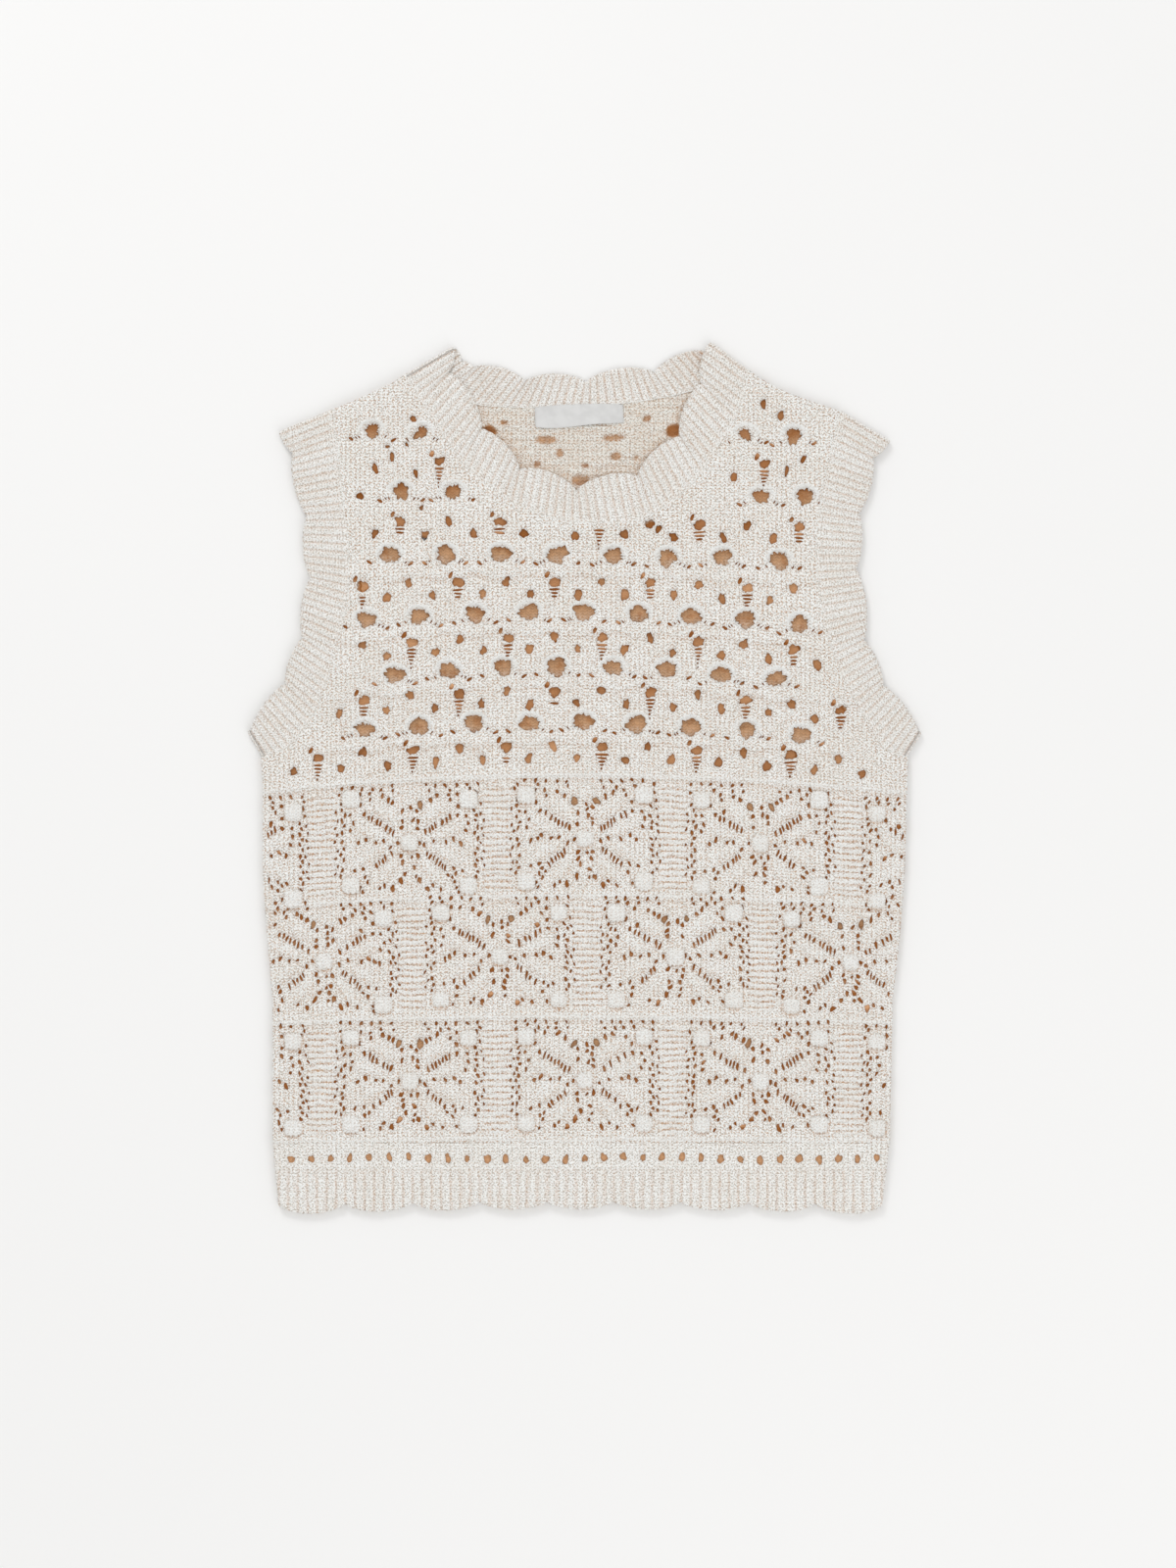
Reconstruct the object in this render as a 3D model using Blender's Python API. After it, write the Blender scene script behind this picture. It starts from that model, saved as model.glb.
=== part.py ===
"""Openwork knit vest laid flat, front up.

Two pierced cloth panels lie on each other, with ribbed and scalloped bands knitted onto their edges.
The tables are in millimetres. X runs to the right, Y towards the neck and Z up from the surface that
the vest lies on. The origin is the middle of the vest's outline, on that surface.
"""
import math
from collections import namedtuple

import bmesh
import bpy
from mathutils import Vector
from mathutils.geometry import delaunay_2d_cdt

MM = 0.001

# Cloth
WALL = 2.1
LAYER_GAP = 0.4
SEAM_GAP = 0.5
FOLD_SEAM_GAP = 1.4      # the same where a band folds over beside the panel's corner
BACK_TOP = WALL
FRONT_UNDER = BACK_TOP + LAYER_GAP
FRONT_TOP = FRONT_UNDER + WALL
EDGE_DROP = 0.5          # how far a wall's upper face falls at its free edges
SMALLEST_CLEARANCE = 3.0  # cloth kept between a gap and the panel's edge

# Side edges of the body, seen from the front
BodySide = namedtuple("BodySide", "y left right")
BODY_SIDES = [
    BodySide(13.5, -197.9, 198.5),
    BodySide(-3.3, -196.8, 198.0),
    BodySide(-60.0, -196.8, 196.2),
    BodySide(-96.0, -194.1, 193.5),
    BodySide(-135.0, -190.8, 189.0),
    BodySide(-190.0, -190.8, 187.8),
    BodySide(-224.0, -190.6, 187.2),
]
HEM_SEAM_Y = BODY_SIDES[-1].y
HEM_SEAM_STOPS = (120.0, 60.0, 0.0, -60.0, -120.0)

# Armhole seams from the underarm to the shoulder
Armhole = namedtuple("Armhole", "left_x left_y right_x right_y")
ARMHOLE_SEAM = [
    Armhole(-197.4, 13.9, 198.0, 13.9),
    Armhole(-186.6, 17.7, 184.8, 19.5),
    Armhole(-174.0, 28.5, 175.2, 33.9),
    Armhole(-163.2, 45.9, 163.2, 53.7),
    Armhole(-154.2, 74.1, 153.6, 76.5),
    Armhole(-148.8, 95.0, 147.6, 96.9),
    Armhole(-145.2, 118.0, 144.6, 118.5),
    Armhole(-145.8, 146.7, 142.8, 141.0),
    Armhole(-148.8, 170.7, 145.2, 164.7),
    Armhole(-151.8, 197.7, 149.4, 189.0),
    Armhole(-154.8, 225.9, 157.8, 224.7),
]
# Notches between the armbands' scallops, from the underarm tip to the shoulder tip
ARMBAND_NOTCHES = [
    Armhole(-204.6, 27.3, 205.2, 26.7),
    Armhole(-183.0, 57.9, 183.0, 56.7),
    Armhole(-172.2, 86.1, 171.0, 84.9),
    Armhole(-167.4, 122.7, 166.2, 128.7),
    Armhole(-169.6, 161.0, 168.0, 162.5),
    Armhole(-178.2, 199.5, 176.8, 196.4),
    Armhole(-186.6, 212.7, 187.2, 207.3),
]

# Neckline, from the left neck point to the right one
Place = namedtuple("Place", "x y")
FRONT_NECK_SEAM = [
    Place(-108.6, 248.1), Place(-95.0, 225.0), Place(-82.5, 205.5), Place(-60.6, 181.5),
    Place(-37.0, 166.5), Place(-12.0, 159.5), Place(14.0, 157.5), Place(40.0, 162.5),
    Place(62.4, 178.5), Place(78.0, 197.7), Place(92.0, 221.0), Place(100.8, 250.0),
]
BACK_NECK_SEAM = [
    Place(-108.6, 248.1), Place(-90.0, 237.0), Place(-66.6, 230.1), Place(-29.4, 228.3),
    Place(8.0, 229.5), Place(45.0, 234.0), Place(75.0, 241.0), Place(100.8, 250.0),
]
FRONT_NECK_NOTCHES = [
    Place(-80.4, 264.6), Place(-83.4, 248.7), Place(-63.0, 213.9), Place(-39.6, 189.3),
    Place(-4.8, 176.1), Place(33.0, 185.1), Place(58.8, 209.1), Place(72.0, 241.5),
    Place(78.0, 267.3),
]
BACK_NECK_NOTCHES = [
    Place(-80.4, 264.6), Place(-75.6, 255.6), Place(-67.8, 252.0), Place(-36.6, 243.3), Place(1.2, 242.7),
    Place(43.2, 248.7), Place(74.4, 261.9), Place(78.0, 267.3),
]
# Shoulder edges from the armhole to the neck
LEFT_SHOULDER = [Place(-142.2, 231.0), Place(-129.6, 236.7), Place(-117.0, 242.7)]
RIGHT_SHOULDER = [Place(138.0, 231.5), Place(123.0, 237.0), Place(110.0, 243.8)]
# How far a scallop bulges, as a share of its width
ARM_SCALLOP_RISE = 0.09
NECK_SCALLOP_RISE = 0.13

# Ribs of the bands
RIB_PITCH = 5.6
RIB_RISE = 0.7
HEM_RIB_TOP_Y = -240.5
HEM_NOTCH_Y = -261.4
HEM_SCALLOP_DROP = 5.9
HEM_ARCH = 2.2           # how much higher the hem's middle hangs than its ends
HEM_MIDDLE_DROP = 4.6
HEM_SCALLOPS = 9
HEM_LEFT = -187.2
HEM_RIGHT = 182.6
HEM_RIBS_PER_SCALLOP = 7

# A ring band folds flat around this height, with these radii on its outer and inner side
FOLD_MIDDLE = FRONT_TOP / 2
FOLD_OUTER = FRONT_TOP / 2
FOLD_INNER = LAYER_GAP / 2
BandPoint = namedtuple("BandPoint", "share reach lift faces_out")
BAND_SECTION = [
    BandPoint(0.0, FOLD_OUTER, 0.5, True),
    BandPoint(0.5, FOLD_OUTER, 1.0, True),
    BandPoint(1.0, FOLD_OUTER, 0.0, True),
    BandPoint(1.0, FOLD_INNER, 1.0, False),
    BandPoint(0.0, FOLD_INNER, 0.5, False),
]

# Knitted rows bow down towards the side edges, less and less towards the hem
ROW_BOW = 0.00028        # drop for each square millimetre from the middle
ROW_BOW_ENDS_Y = -240.0
ROW_BOW_WHOLE_Y = 0.0

# Gaps of the yoke: rows of large gaps, of ladder gaps and of small diamonds
GapRow = namedtuple("GapRow", "y first_x pitch count")
LARGE_ROWS = [
    GapRow(34.2, -133.8, 33.3, 9),
    GapRow(68.1, -116.0, 33.3, 8),
    GapRow(101.7, -133.8, 33.3, 9),
    GapRow(136.5, -118.4, 34.0, 8),
    GapRow(174.4, -112.0, 31.5, 2),
    GapRow(174.4, 108.0, 28.0, 2),
    GapRow(211.0, -130.0, 30.0, 2),
    GapRow(211.0, 99.0, 29.4, 2),
]
LADDER_ROWS = [
    GapRow(16.5, -163.8, 58.0, 6),
    GapRow(50.1, -135.4, 58.4, 6),
    GapRow(83.7, -106.0, 58.4, 5),
    GapRow(117.3, -136.2, 58.8, 5),
    GapRow(153.3, -113.0, 61.0, 5),
    GapRow(190.5, -88.8, 198.6, 2),
]
BACK_LARGE_ROWS = [
    GapRow(19.0, -117.2, 33.3, 8),
    GapRow(54.0, -133.8, 33.3, 9),
    GapRow(89.0, -117.2, 33.3, 8),
    GapRow(124.0, -133.8, 33.3, 9),
    GapRow(152.0, -127.8, 36.0, 8),
    GapRow(180.9, -109.8, 36.0, 7),
    GapRow(208.5, -106.2, 41.4, 6),
]
BACK_LADDER_ROWS = [
    GapRow(36.5, -151.2, 58.4, 6),
    GapRow(71.5, -120.8, 58.4, 5),
    GapRow(106.5, -92.8, 58.4, 4),
    GapRow(138.5, -120.8, 58.4, 5),
]
LARGE_GAP = (12.0, 10.2)
BACK_LARGE_GAP = (14.5, 7.5)
LADDER_GAP = (8.0, 14.0)
SMALL_GAP = (5.0, 6.4)
# Small diamonds beside each ladder gap: share of the ladder pitch, and height above the ladder's middle
Small = namedtuple("Small", "share rise")
SMALL_GAPS = [Small(0.25, -4.2), Small(0.5, 3.6), Small(0.75, -4.2)]
RIM_RISE = 0.7           # raised arch over each large gap

# Hem eyelets
EYELETS = 31
EYELET_FIRST_X = -179.4
EYELET_PITCH = 11.97
EYELET_Y = -232.6
EYELET_GAP = (4.4, 5.6)

# Squares of leaf motifs below the yoke
SquareRow = namedtuple("SquareRow", "y height first_x count")
SQUARE_ROWS = [
    SquareRow(-36.6, 68.0, -214.2, 5),
    SquareRow(-108.3, 70.0, -159.0, 4),
    SquareRow(-184.5, 70.0, -214.2, 5),
]
SQUARE_PITCH = 107.4
WELT_LINES = [-3.0, -73.2, -147.0, -221.0]
WELT_RISE = 0.8
YOKE_RIDGES = [22.0, 56.0, 91.0, 125.5]
YOKE_RIDGE_RISE = 0.7
RELIEF_STEP = 17.0       # spacing of the points along a welt or a ridge
GARTER_WIDTH = 21.0
GARTER_RISE = 0.6
GARTER_SLOPE = 1.6
BOBBLE_RADIUS = 4.8
BOBBLE_RISE = 2.6
BOBBLE_CORNER = (36.0, 26.5)
PETAL_ANGLES = (0, 58, 122, 180, 238, 302)
PETAL_ROOT = 8.0
PETAL_TIP = 27.0
PETAL_WIDTH = 9.0
PETAL_RISE = 0.7

# Label inside the back neck
LABEL_SIZE = (55.0, 15.0)
LABEL_CENTRE = (-3.0, 222.6)
LABEL_TILT = math.radians(2.0)
LABEL_WALL = 1.0
LABEL_GAP = 0.3

# Surface of each sub-part: colour, roughness
CREAM = (0.70, 0.66, 0.61)
LABEL_GREY = (0.66, 0.66, 0.64)
CLOTH_ROUGHNESS = 0.9
LABEL_ROUGHNESS = 0.6


def smooth_line(places, steps):
    """A curve through the places, as points a steps-th of a span apart."""
    spots = [Vector((place[0], place[1])) for place in places]
    before = [2 * spots[0] - spots[1]] + spots
    after = spots + [2 * spots[-1] - spots[-2]]
    line = []
    for i in range(len(spots) - 1):
        start, end = spots[i], spots[i + 1]
        start_pull = (end - before[i]) / 2
        end_pull = (after[i + 2] - start) / 2
        for step in range(steps):
            t = step / steps
            line.append(
                start * (2 * t**3 - 3 * t**2 + 1) + start_pull * (t**3 - 2 * t**2 + t)
                + end * (3 * t**2 - 2 * t**3) + end_pull * (t**3 - t**2)
            )
    return line + [spots[-1]]


def scalloped(notches, rise, steps=8):
    """Rounded lobes from notch to notch, which bulge to the left of the run, or right if rise is negative."""
    line = []
    for start, end in zip(notches, notches[1:]):
        start, end = Vector(start[:2]), Vector(end[:2])
        run = end - start
        outwards = Vector((-run.y, run.x)) * rise
        for step in range(steps):
            share = step / steps
            line.append(start + run * share + outwards * math.sin(math.pi * share) ** 0.7)
    return line + [Vector(notches[-1][:2])]


def at_share(line, share, trim):
    """The point at a share of a line's length, once its ends are trimmed."""
    lengths = [(b - a).length for a, b in zip(line, line[1:])]
    left = trim + share * (sum(lengths) - 2 * trim)
    for start, end, length in zip(line, line[1:], lengths):
        if left <= length:
            return start.lerp(end, left / length)
        left -= length
    return line[-1].copy()


def corner_shares(line, parts, trim):
    """Shares of a trimmed line's length at its corners and at equal parts of each span between them."""
    lengths = [(b - a).length for a, b in zip(line, line[1:])]
    whole = sum(lengths) - 2 * trim
    shares = []
    done = -trim
    for length in lengths:
        shares += [(done + length * part / parts) / whole for part in range(parts)]
        done += length
    return [0.0] + [share for share in shares if 0.005 < share < 0.995] + [1.0]


def side_x(y, left):
    """The body's left or right edge at a height."""
    for upper, lower in zip(BODY_SIDES, BODY_SIDES[1:]):
        if y >= lower.y:
            share = (upper.y - y) / (upper.y - lower.y)
            ends = (upper.left, lower.left) if left else (upper.right, lower.right)
            return ends[0] + (ends[1] - ends[0]) * share
    return BODY_SIDES[-1].left if left else BODY_SIDES[-1].right


def bowed(x, y):
    """Where a place on a straight knitted row comes to lie."""
    whole = (y - ROW_BOW_ENDS_Y) / (ROW_BOW_WHOLE_Y - ROW_BOW_ENDS_Y)
    return Vector((x, y - ROW_BOW * x * x * min(max(whole, 0.0), 1.0)))


def armhole_line(left):
    columns = [(row.left_x, row.left_y) if left else (row.right_x, row.right_y) for row in ARMHOLE_SEAM]
    return smooth_line(columns, 2)


def panel_outline(neck_seam):
    """The panel's edge, anticlockwise from the hem's left end to its right end and back along the hem."""
    left_side = [Vector((row.left, row.y)) for row in reversed(BODY_SIDES)]
    right_side = [Vector((row.right, row.y)) for row in BODY_SIDES]
    left_shoulder = [Vector(place) for place in LEFT_SHOULDER]
    right_shoulder = [Vector(place) for place in reversed(RIGHT_SHOULDER)]
    hem = [Vector((x, HEM_SEAM_Y)) for x in HEM_SEAM_STOPS]
    return (
        left_side + armhole_line(True)[1:] + left_shoulder + smooth_line(neck_seam, 2)
        + right_shoulder + armhole_line(False)[:0:-1] + right_side + hem
    )


def distance_to(outline, place):
    """How far a place is from an outline, or less than zero outside it."""
    nearest = math.inf
    inside = False
    for a, b in zip(outline, outline[1:] + outline[:1]):
        run = b - a
        share = min(max((place - a).dot(run) / run.length_squared, 0.0), 1.0)
        nearest = min(nearest, (place - a - run * share).length)
        if (a.y > place.y) != (b.y > place.y):
            if place.x < a.x + run.x * (place.y - a.y) / run.y:
                inside = not inside
    return nearest if inside else -nearest


def gap_ring(x, y, size, sides):
    """The edge of one gap in the knitting."""
    ring = []
    for i in range(sides):
        turn = 2 * math.pi * (i + 0.5) / sides if sides > 4 else math.pi * i / 2
        ring.append(Vector((x + size[0] / 2 * math.cos(turn), y + size[1] / 2 * math.sin(turn))))
    return ring


def middle_of(ring):
    return sum(ring, Vector((0, 0))) / len(ring)


def lattice(rows, size, sides, outline):
    """Every gap of the rows that leaves enough cloth to the panel's edge."""
    gaps = []
    for row in rows:
        for step in range(row.count):
            place = bowed(row.first_x + step * row.pitch, row.y)
            if distance_to(outline, place) > max(size) / 2 + SMALLEST_CLEARANCE:
                gaps.append(gap_ring(place.x, place.y, size, sides))
    return gaps


def small_gaps(outline, larger):
    """The small diamonds between the ladder gaps, where no larger gap is close."""
    middles = [(middle_of(ring), (ring[0] - ring[len(ring) // 2]).length) for ring in larger]
    gaps = []
    for row in LADDER_ROWS[:-1]:
        for step in range(-1, row.count):
            for small in SMALL_GAPS:
                place = bowed(row.first_x + (step + small.share) * row.pitch, row.y + small.rise)
                clear = all((place - middle).length > width / 2 + max(SMALL_GAP) / 2 + 1.0
                            for middle, width in middles)
                if clear and distance_to(outline, place) > max(SMALL_GAP) / 2 + SMALLEST_CLEARANCE:
                    gaps.append(gap_ring(place.x, place.y, SMALL_GAP, 4))
    return gaps


def square_centres():
    for row in SQUARE_ROWS:
        for i in range(row.count):
            yield bowed(row.first_x + i * SQUARE_PITCH, row.y)


def bobble_marks():
    """Raised points of the bobbles: a ring at the cloth, a raised ring and a crown."""
    marks = []
    for centre in square_centres():
        corners = [Vector((sx * BOBBLE_CORNER[0], sy * BOBBLE_CORNER[1])) for sx in (-1, 1) for sy in (-1, 1)]
        for offset in [Vector((0, 0))] + corners:
            middle = centre + offset
            marks.append((middle, BOBBLE_RISE))
            for i in range(6):
                turn = math.radians(60 * i)
                spoke = Vector((math.cos(turn), math.sin(turn)))
                marks.append((middle + spoke * BOBBLE_RADIUS * 0.62, BOBBLE_RISE * 0.7))
                marks.append((middle + spoke * BOBBLE_RADIUS, 0.0))
    return marks


def petal_marks():
    """Raised spines of the leaves around each square's middle."""
    marks = []
    for centre in square_centres():
        for angle in PETAL_ANGLES:
            turn = math.radians(angle)
            along = Vector((math.cos(turn), math.sin(turn)))
            across = Vector((-along.y, along.x)) * PETAL_WIDTH / 2
            middle = centre + along * (PETAL_ROOT + PETAL_TIP) / 2
            marks.append((centre + along * PETAL_ROOT, 0.0))
            marks.append((centre + along * PETAL_TIP, 0.0))
            marks.append((middle, PETAL_RISE))
            marks.append((middle + across, 0.0))
            marks.append((middle - across, 0.0))
    return marks


def garter_marks():
    """Raised pads of garter stitch between the squares."""
    marks = []
    for row in SQUARE_ROWS:
        half_height = row.height / 2 - 4.0
        for i in range(row.count + 1):
            x = row.first_x + (i - 0.5) * SQUARE_PITCH
            for reach, rise in ((GARTER_SLOPE, 0.0), (0.0, GARTER_RISE)):
                for sx in (-1, 1):
                    for sy in (-1, 0, 1):
                        spot = bowed(x + sx * (GARTER_WIDTH / 2 + reach), row.y + sy * (half_height + reach))
                        marks.append((spot, rise))
    return marks


def ridge_marks():
    """Raised cross ridges: the welts that part the rows of squares, and those below the large gaps."""
    marks = []
    for lines, rise, half in ((WELT_LINES, WELT_RISE, 2.4), (YOKE_RIDGES, YOKE_RIDGE_RISE, 2.6)):
        for y in lines:
            steps = int((side_x(y, False) - side_x(y, True)) / RELIEF_STEP)
            for i in range(steps + 1):
                x = -RELIEF_STEP * steps / 2 + RELIEF_STEP * i
                marks.append((bowed(x, y), rise))
                marks.append((bowed(x + RELIEF_STEP / 2, y + half), 0.0))
    return marks


def clear_marks(marks, outline, gaps, margin=1.2):
    """The raised points that lie on the cloth, clear of its edge, of the gaps and of each other."""
    rims = [(middle_of(ring), max((point - ring[0]).length for point in ring) / 2) for ring in gaps]
    kept = []
    for spot, rise in marks:
        if distance_to(outline, spot) < margin:
            continue
        if any((spot - middle).length < reach + margin for middle, reach in rims):
            continue
        if any((spot - other).length < margin for other, _ in kept):
            continue
        kept.append((spot, rise))
    return kept


def new_part(name, bm, colour, roughness):
    """Link a mesh as one named object with its own material."""
    bmesh.ops.recalc_face_normals(bm, faces=bm.faces)
    mesh = bpy.data.meshes.new(name)
    bm.to_mesh(mesh)
    bm.free()
    material = bpy.data.materials.new(name)
    material.use_nodes = True
    shader = material.node_tree.nodes["Principled BSDF"]
    shader.inputs["Base Color"].default_value = (*colour, 1.0)
    shader.inputs["Roughness"].default_value = roughness
    shader.inputs["Metallic"].default_value = 0.0
    mesh.materials.append(material)
    mesh.shade_smooth()
    mesh.set_sharp_from_angle(angle=math.radians(40))
    part = bpy.data.objects.new(name, mesh)
    bpy.data.collections["knit_vest"].objects.link(part)
    return part


def fill_between(loops, marks):
    """Triangles over the cloth inside the first loop and outside the others, as corner numbers."""
    corners = [point for loop in loops for point in loop] + [spot for spot, _ in marks]
    edges = []
    loop_of = []
    for number, loop in enumerate(loops):
        first = len(loop_of)
        edges += [(first + i, first + (i + 1) % len(loop)) for i in range(len(loop))]
        loop_of += [number] * len(loop)
    loop_of += [0] * len(marks)
    inside_the_edges = 1
    _, _, faces, sources, _, _ = delaunay_2d_cdt(corners, edges, [], inside_the_edges, 1e-4)
    numbers = [source[0] for source in sources]
    faces = [[numbers[i] for i in face] for face in faces]
    in_a_gap = [len({loop_of[i] for i in face}) == 1 and loop_of[face[0]] > 0 for face in faces]
    return corners, edges, [face for face, gap in zip(faces, in_a_gap) if not gap]


def cut_wall(name, outline, gaps, under, top, marks=(), rim_rise=None, colour=CREAM):
    """A pierced cloth wall: plain below, with its upper face raised at the marks and the gaps' rims."""
    loops = [outline] + gaps
    on_cloth = clear_marks(marks, outline, gaps)
    corners, edges, upper_faces = fill_between(loops, on_cloth)
    _, _, lower_faces = fill_between(loops, [])
    rim_count = sum(len(loop) for loop in loops)
    rises = [-EDGE_DROP] * len(outline)
    for ring in gaps:
        middle = middle_of(ring)
        rises += [rim_rise(point, middle, ring) if rim_rise else 0.0 for point in ring]
    rises += [rise for _, rise in on_cloth]
    bm = bmesh.new()
    upper = [bm.verts.new((p.x * MM, p.y * MM, (top + rise) * MM)) for p, rise in zip(corners, rises)]
    lower = [bm.verts.new((p.x * MM, p.y * MM, under * MM)) for p in corners[:rim_count]]
    for face in upper_faces:
        bm.faces.new([upper[i] for i in face])
    for face in lower_faces:
        bm.faces.new([lower[i] for i in reversed(face)])
    for a, b in edges:
        bm.faces.new((upper[a], lower[a], lower[b], upper[b]))
    return new_part(name, bm, colour, CLOTH_ROUGHNESS)


def large_rim(point, middle, ring):
    """Only the upper arch of a large gap stands proud."""
    large = (ring[0] - ring[len(ring) // 2]).length > LADDER_GAP[0] + 2.0 and len(ring) > 6
    return RIM_RISE if large and point.y > middle.y else 0.0


def make_panels():
    back_outline = panel_outline(BACK_NECK_SEAM)
    back_gaps = lattice(BACK_LARGE_ROWS, BACK_LARGE_GAP, 8, back_outline)
    back_gaps += lattice(BACK_LADDER_ROWS, LADDER_GAP, 6, back_outline)
    cut_wall("back_panel", back_outline, back_gaps, 0.0, BACK_TOP)

    outline = panel_outline(FRONT_NECK_SEAM)
    gaps = lattice(LARGE_ROWS, LARGE_GAP, 8, outline) + lattice(LADDER_ROWS, LADDER_GAP, 6, outline)
    gaps += small_gaps(outline, gaps)
    marks = bobble_marks() + petal_marks() + garter_marks() + ridge_marks()
    cut_wall("front_panel", outline, gaps, FRONT_UNDER, FRONT_TOP, marks, large_rim)


def hem_edge():
    """Points of the scalloped hem from left to right, with two points to each rib."""
    steps = 2 * HEM_RIBS_PER_SCALLOP
    points = []
    for i in range(HEM_SCALLOPS * steps + 1):
        x = HEM_LEFT + (HEM_RIGHT - HEM_LEFT) * i / (HEM_SCALLOPS * steps)
        lobe = math.sin(math.pi * (i % steps) / steps) ** 0.7
        arch = 1.0 - (x / HEM_LEFT) ** 2
        drop = HEM_SCALLOP_DROP + (HEM_MIDDLE_DROP - HEM_SCALLOP_DROP) * arch
        points.append(Vector((x, HEM_NOTCH_Y + HEM_ARCH * arch - drop * lobe)))
    return points


def make_hem_band(name, under, top, sides, ribbed):
    """Hem band from the seam to the scalloped edge, with its eyelets cut through.

    The plain back band's eyelets lie between the front one's, as the two layers do when laid flat.
    """
    seam_y = HEM_SEAM_Y - SEAM_GAP
    edge = hem_edge()
    if not ribbed:
        edge = edge[::2]
    seam_ends = BODY_SIDES[-1]
    seam = [Vector((x, seam_y)) for x in (seam_ends.right, *HEM_SEAM_STOPS, seam_ends.left)]
    outline = edge + seam
    first = EYELET_FIRST_X if ribbed else EYELET_FIRST_X + EYELET_PITCH / 2
    spots = [first + i * EYELET_PITCH for i in range(EYELETS if ribbed else EYELETS - 1)]
    eyelets = [gap_ring(x, EYELET_Y, EYELET_GAP, sides) for x in spots]
    marks = []
    if ribbed:
        for i, point in enumerate(edge[1:-1], start=1):
            rise = RIB_RISE / 2 if i % 2 else -RIB_RISE / 2
            marks.append((Vector((point.x, HEM_RIB_TOP_Y)), rise))
    wall = cut_wall(name, outline, eyelets, under, top, marks)
    if ribbed:
        for i in range(len(edge)):
            wall.data.vertices[i].co.z += (RIB_RISE if i % 2 else 0.0) * MM
    return wall


def fold_out(seam_end, edge_end, away):
    """The direction in which a fold bulges: square to the fold's line, on the side that away points to."""
    along = (edge_end - seam_end).normalized()
    out = Vector((-along.y, along.x))
    return out if out.dot(away) > 0 else -out


def ring_band(name, front, back, ribs, back_shares, back_ribs, folds):
    """A ribbed ring folded flat: front and back are (seam line, free edge) pairs that share their ends."""
    sections = []

    def section(seam, edge, out, angle, rib, seam_gap=SEAM_GAP):
        """One cross-section, from the seam's outer side round the free edge to its inner side."""
        seam = seam + (edge - seam).normalized() * seam_gap
        level = Vector((out.x * math.cos(angle), out.y * math.cos(angle), math.sin(angle)))
        outer_rib, inner_rib = (rib, 0.0) if math.sin(angle) > 0 else (0.0, rib)
        points = []
        for share, reach, lift, faces_out in BAND_SECTION:
            spot = seam.lerp(edge, share)
            reach = reach + outer_rib * lift if faces_out else reach - inner_rib * lift
            points.append(Vector((spot.x, spot.y, FOLD_MIDDLE)) + level * reach)
        sections.append(points)

    def layer(lines, shares, angle, ribbed):
        for i, share in enumerate(shares):
            seam, edge = [at_share(line, share, FOLD_OUTER) for line in lines]
            rib = 0.0
            if ribbed and 0 < i < len(shares) - 1:
                rib = RIB_RISE / 2 if i % 2 else -RIB_RISE / 2
            section(seam, edge, folds[0], angle, rib)

    def turn_over(share, out, angles):
        seam, edge = [at_share(line, share, FOLD_OUTER) for line in front]
        for degrees in angles:
            section(seam, edge, out, math.radians(degrees), 0.0, FOLD_SEAM_GAP)

    layer(front, [i / (2 * ribs) for i in range(2 * ribs + 1)], math.pi / 2, True)
    turn_over(1.0, folds[1], (30, -30))
    layer(back, back_shares[::-1], -math.pi / 2, back_ribs)
    turn_over(0.0, folds[0], (-30, 30))

    bm = bmesh.new()
    rings = [[bm.verts.new(point * MM) for point in points] for points in sections]
    for ring, following in zip(rings, rings[1:] + rings[:1]):
        for i in range(len(ring)):
            j = (i + 1) % len(ring)
            bm.faces.new((ring[i], ring[j], following[j], following[i]))
    bmesh.ops.triangulate(bm, faces=bm.faces)
    return new_part(name, bm, CREAM, CLOTH_ROUGHNESS)


def make_armband(name, left):
    seam = armhole_line(left)
    notches = [(row.left_x, row.left_y) if left else (row.right_x, row.right_y) for row in ARMBAND_NOTCHES]
    edge = scalloped(notches, ARM_SCALLOP_RISE if left else -ARM_SCALLOP_RISE)
    outwards = -1.0 if left else 1.0
    folds = (
        fold_out(seam[0], edge[0], Vector((outwards, -1.0))),
        fold_out(seam[-1], edge[-1], Vector((0.0, 1.0))),
    )
    length = sum((b - a).length for a, b in zip(seam, seam[1:]))
    ribs = round(length / RIB_PITCH)
    ring_band(name, (seam, edge), (seam, edge), ribs, corner_shares(seam, 2, FOLD_OUTER), False, folds)


def make_neckband():
    front_seam, back_seam = smooth_line(FRONT_NECK_SEAM, 2), smooth_line(BACK_NECK_SEAM, 2)
    front_edge = scalloped(FRONT_NECK_NOTCHES, NECK_SCALLOP_RISE)
    back_edge = scalloped(BACK_NECK_NOTCHES, NECK_SCALLOP_RISE)
    folds = (
        fold_out(front_seam[0], front_edge[0], Vector((-1.0, 1.0))),
        fold_out(front_seam[-1], front_edge[-1], Vector((1.0, 1.0))),
    )
    ribs = round(sum((b - a).length for a, b in zip(front_seam, front_seam[1:])) / RIB_PITCH)
    back_steps = 2 * round(sum((b - a).length for a, b in zip(back_seam, back_seam[1:])) / RIB_PITCH)
    back_shares = [i / back_steps for i in range(back_steps + 1)]
    ring_band("neckband", (front_seam, front_edge), (back_seam, back_edge), ribs, back_shares, True, folds)


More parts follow.
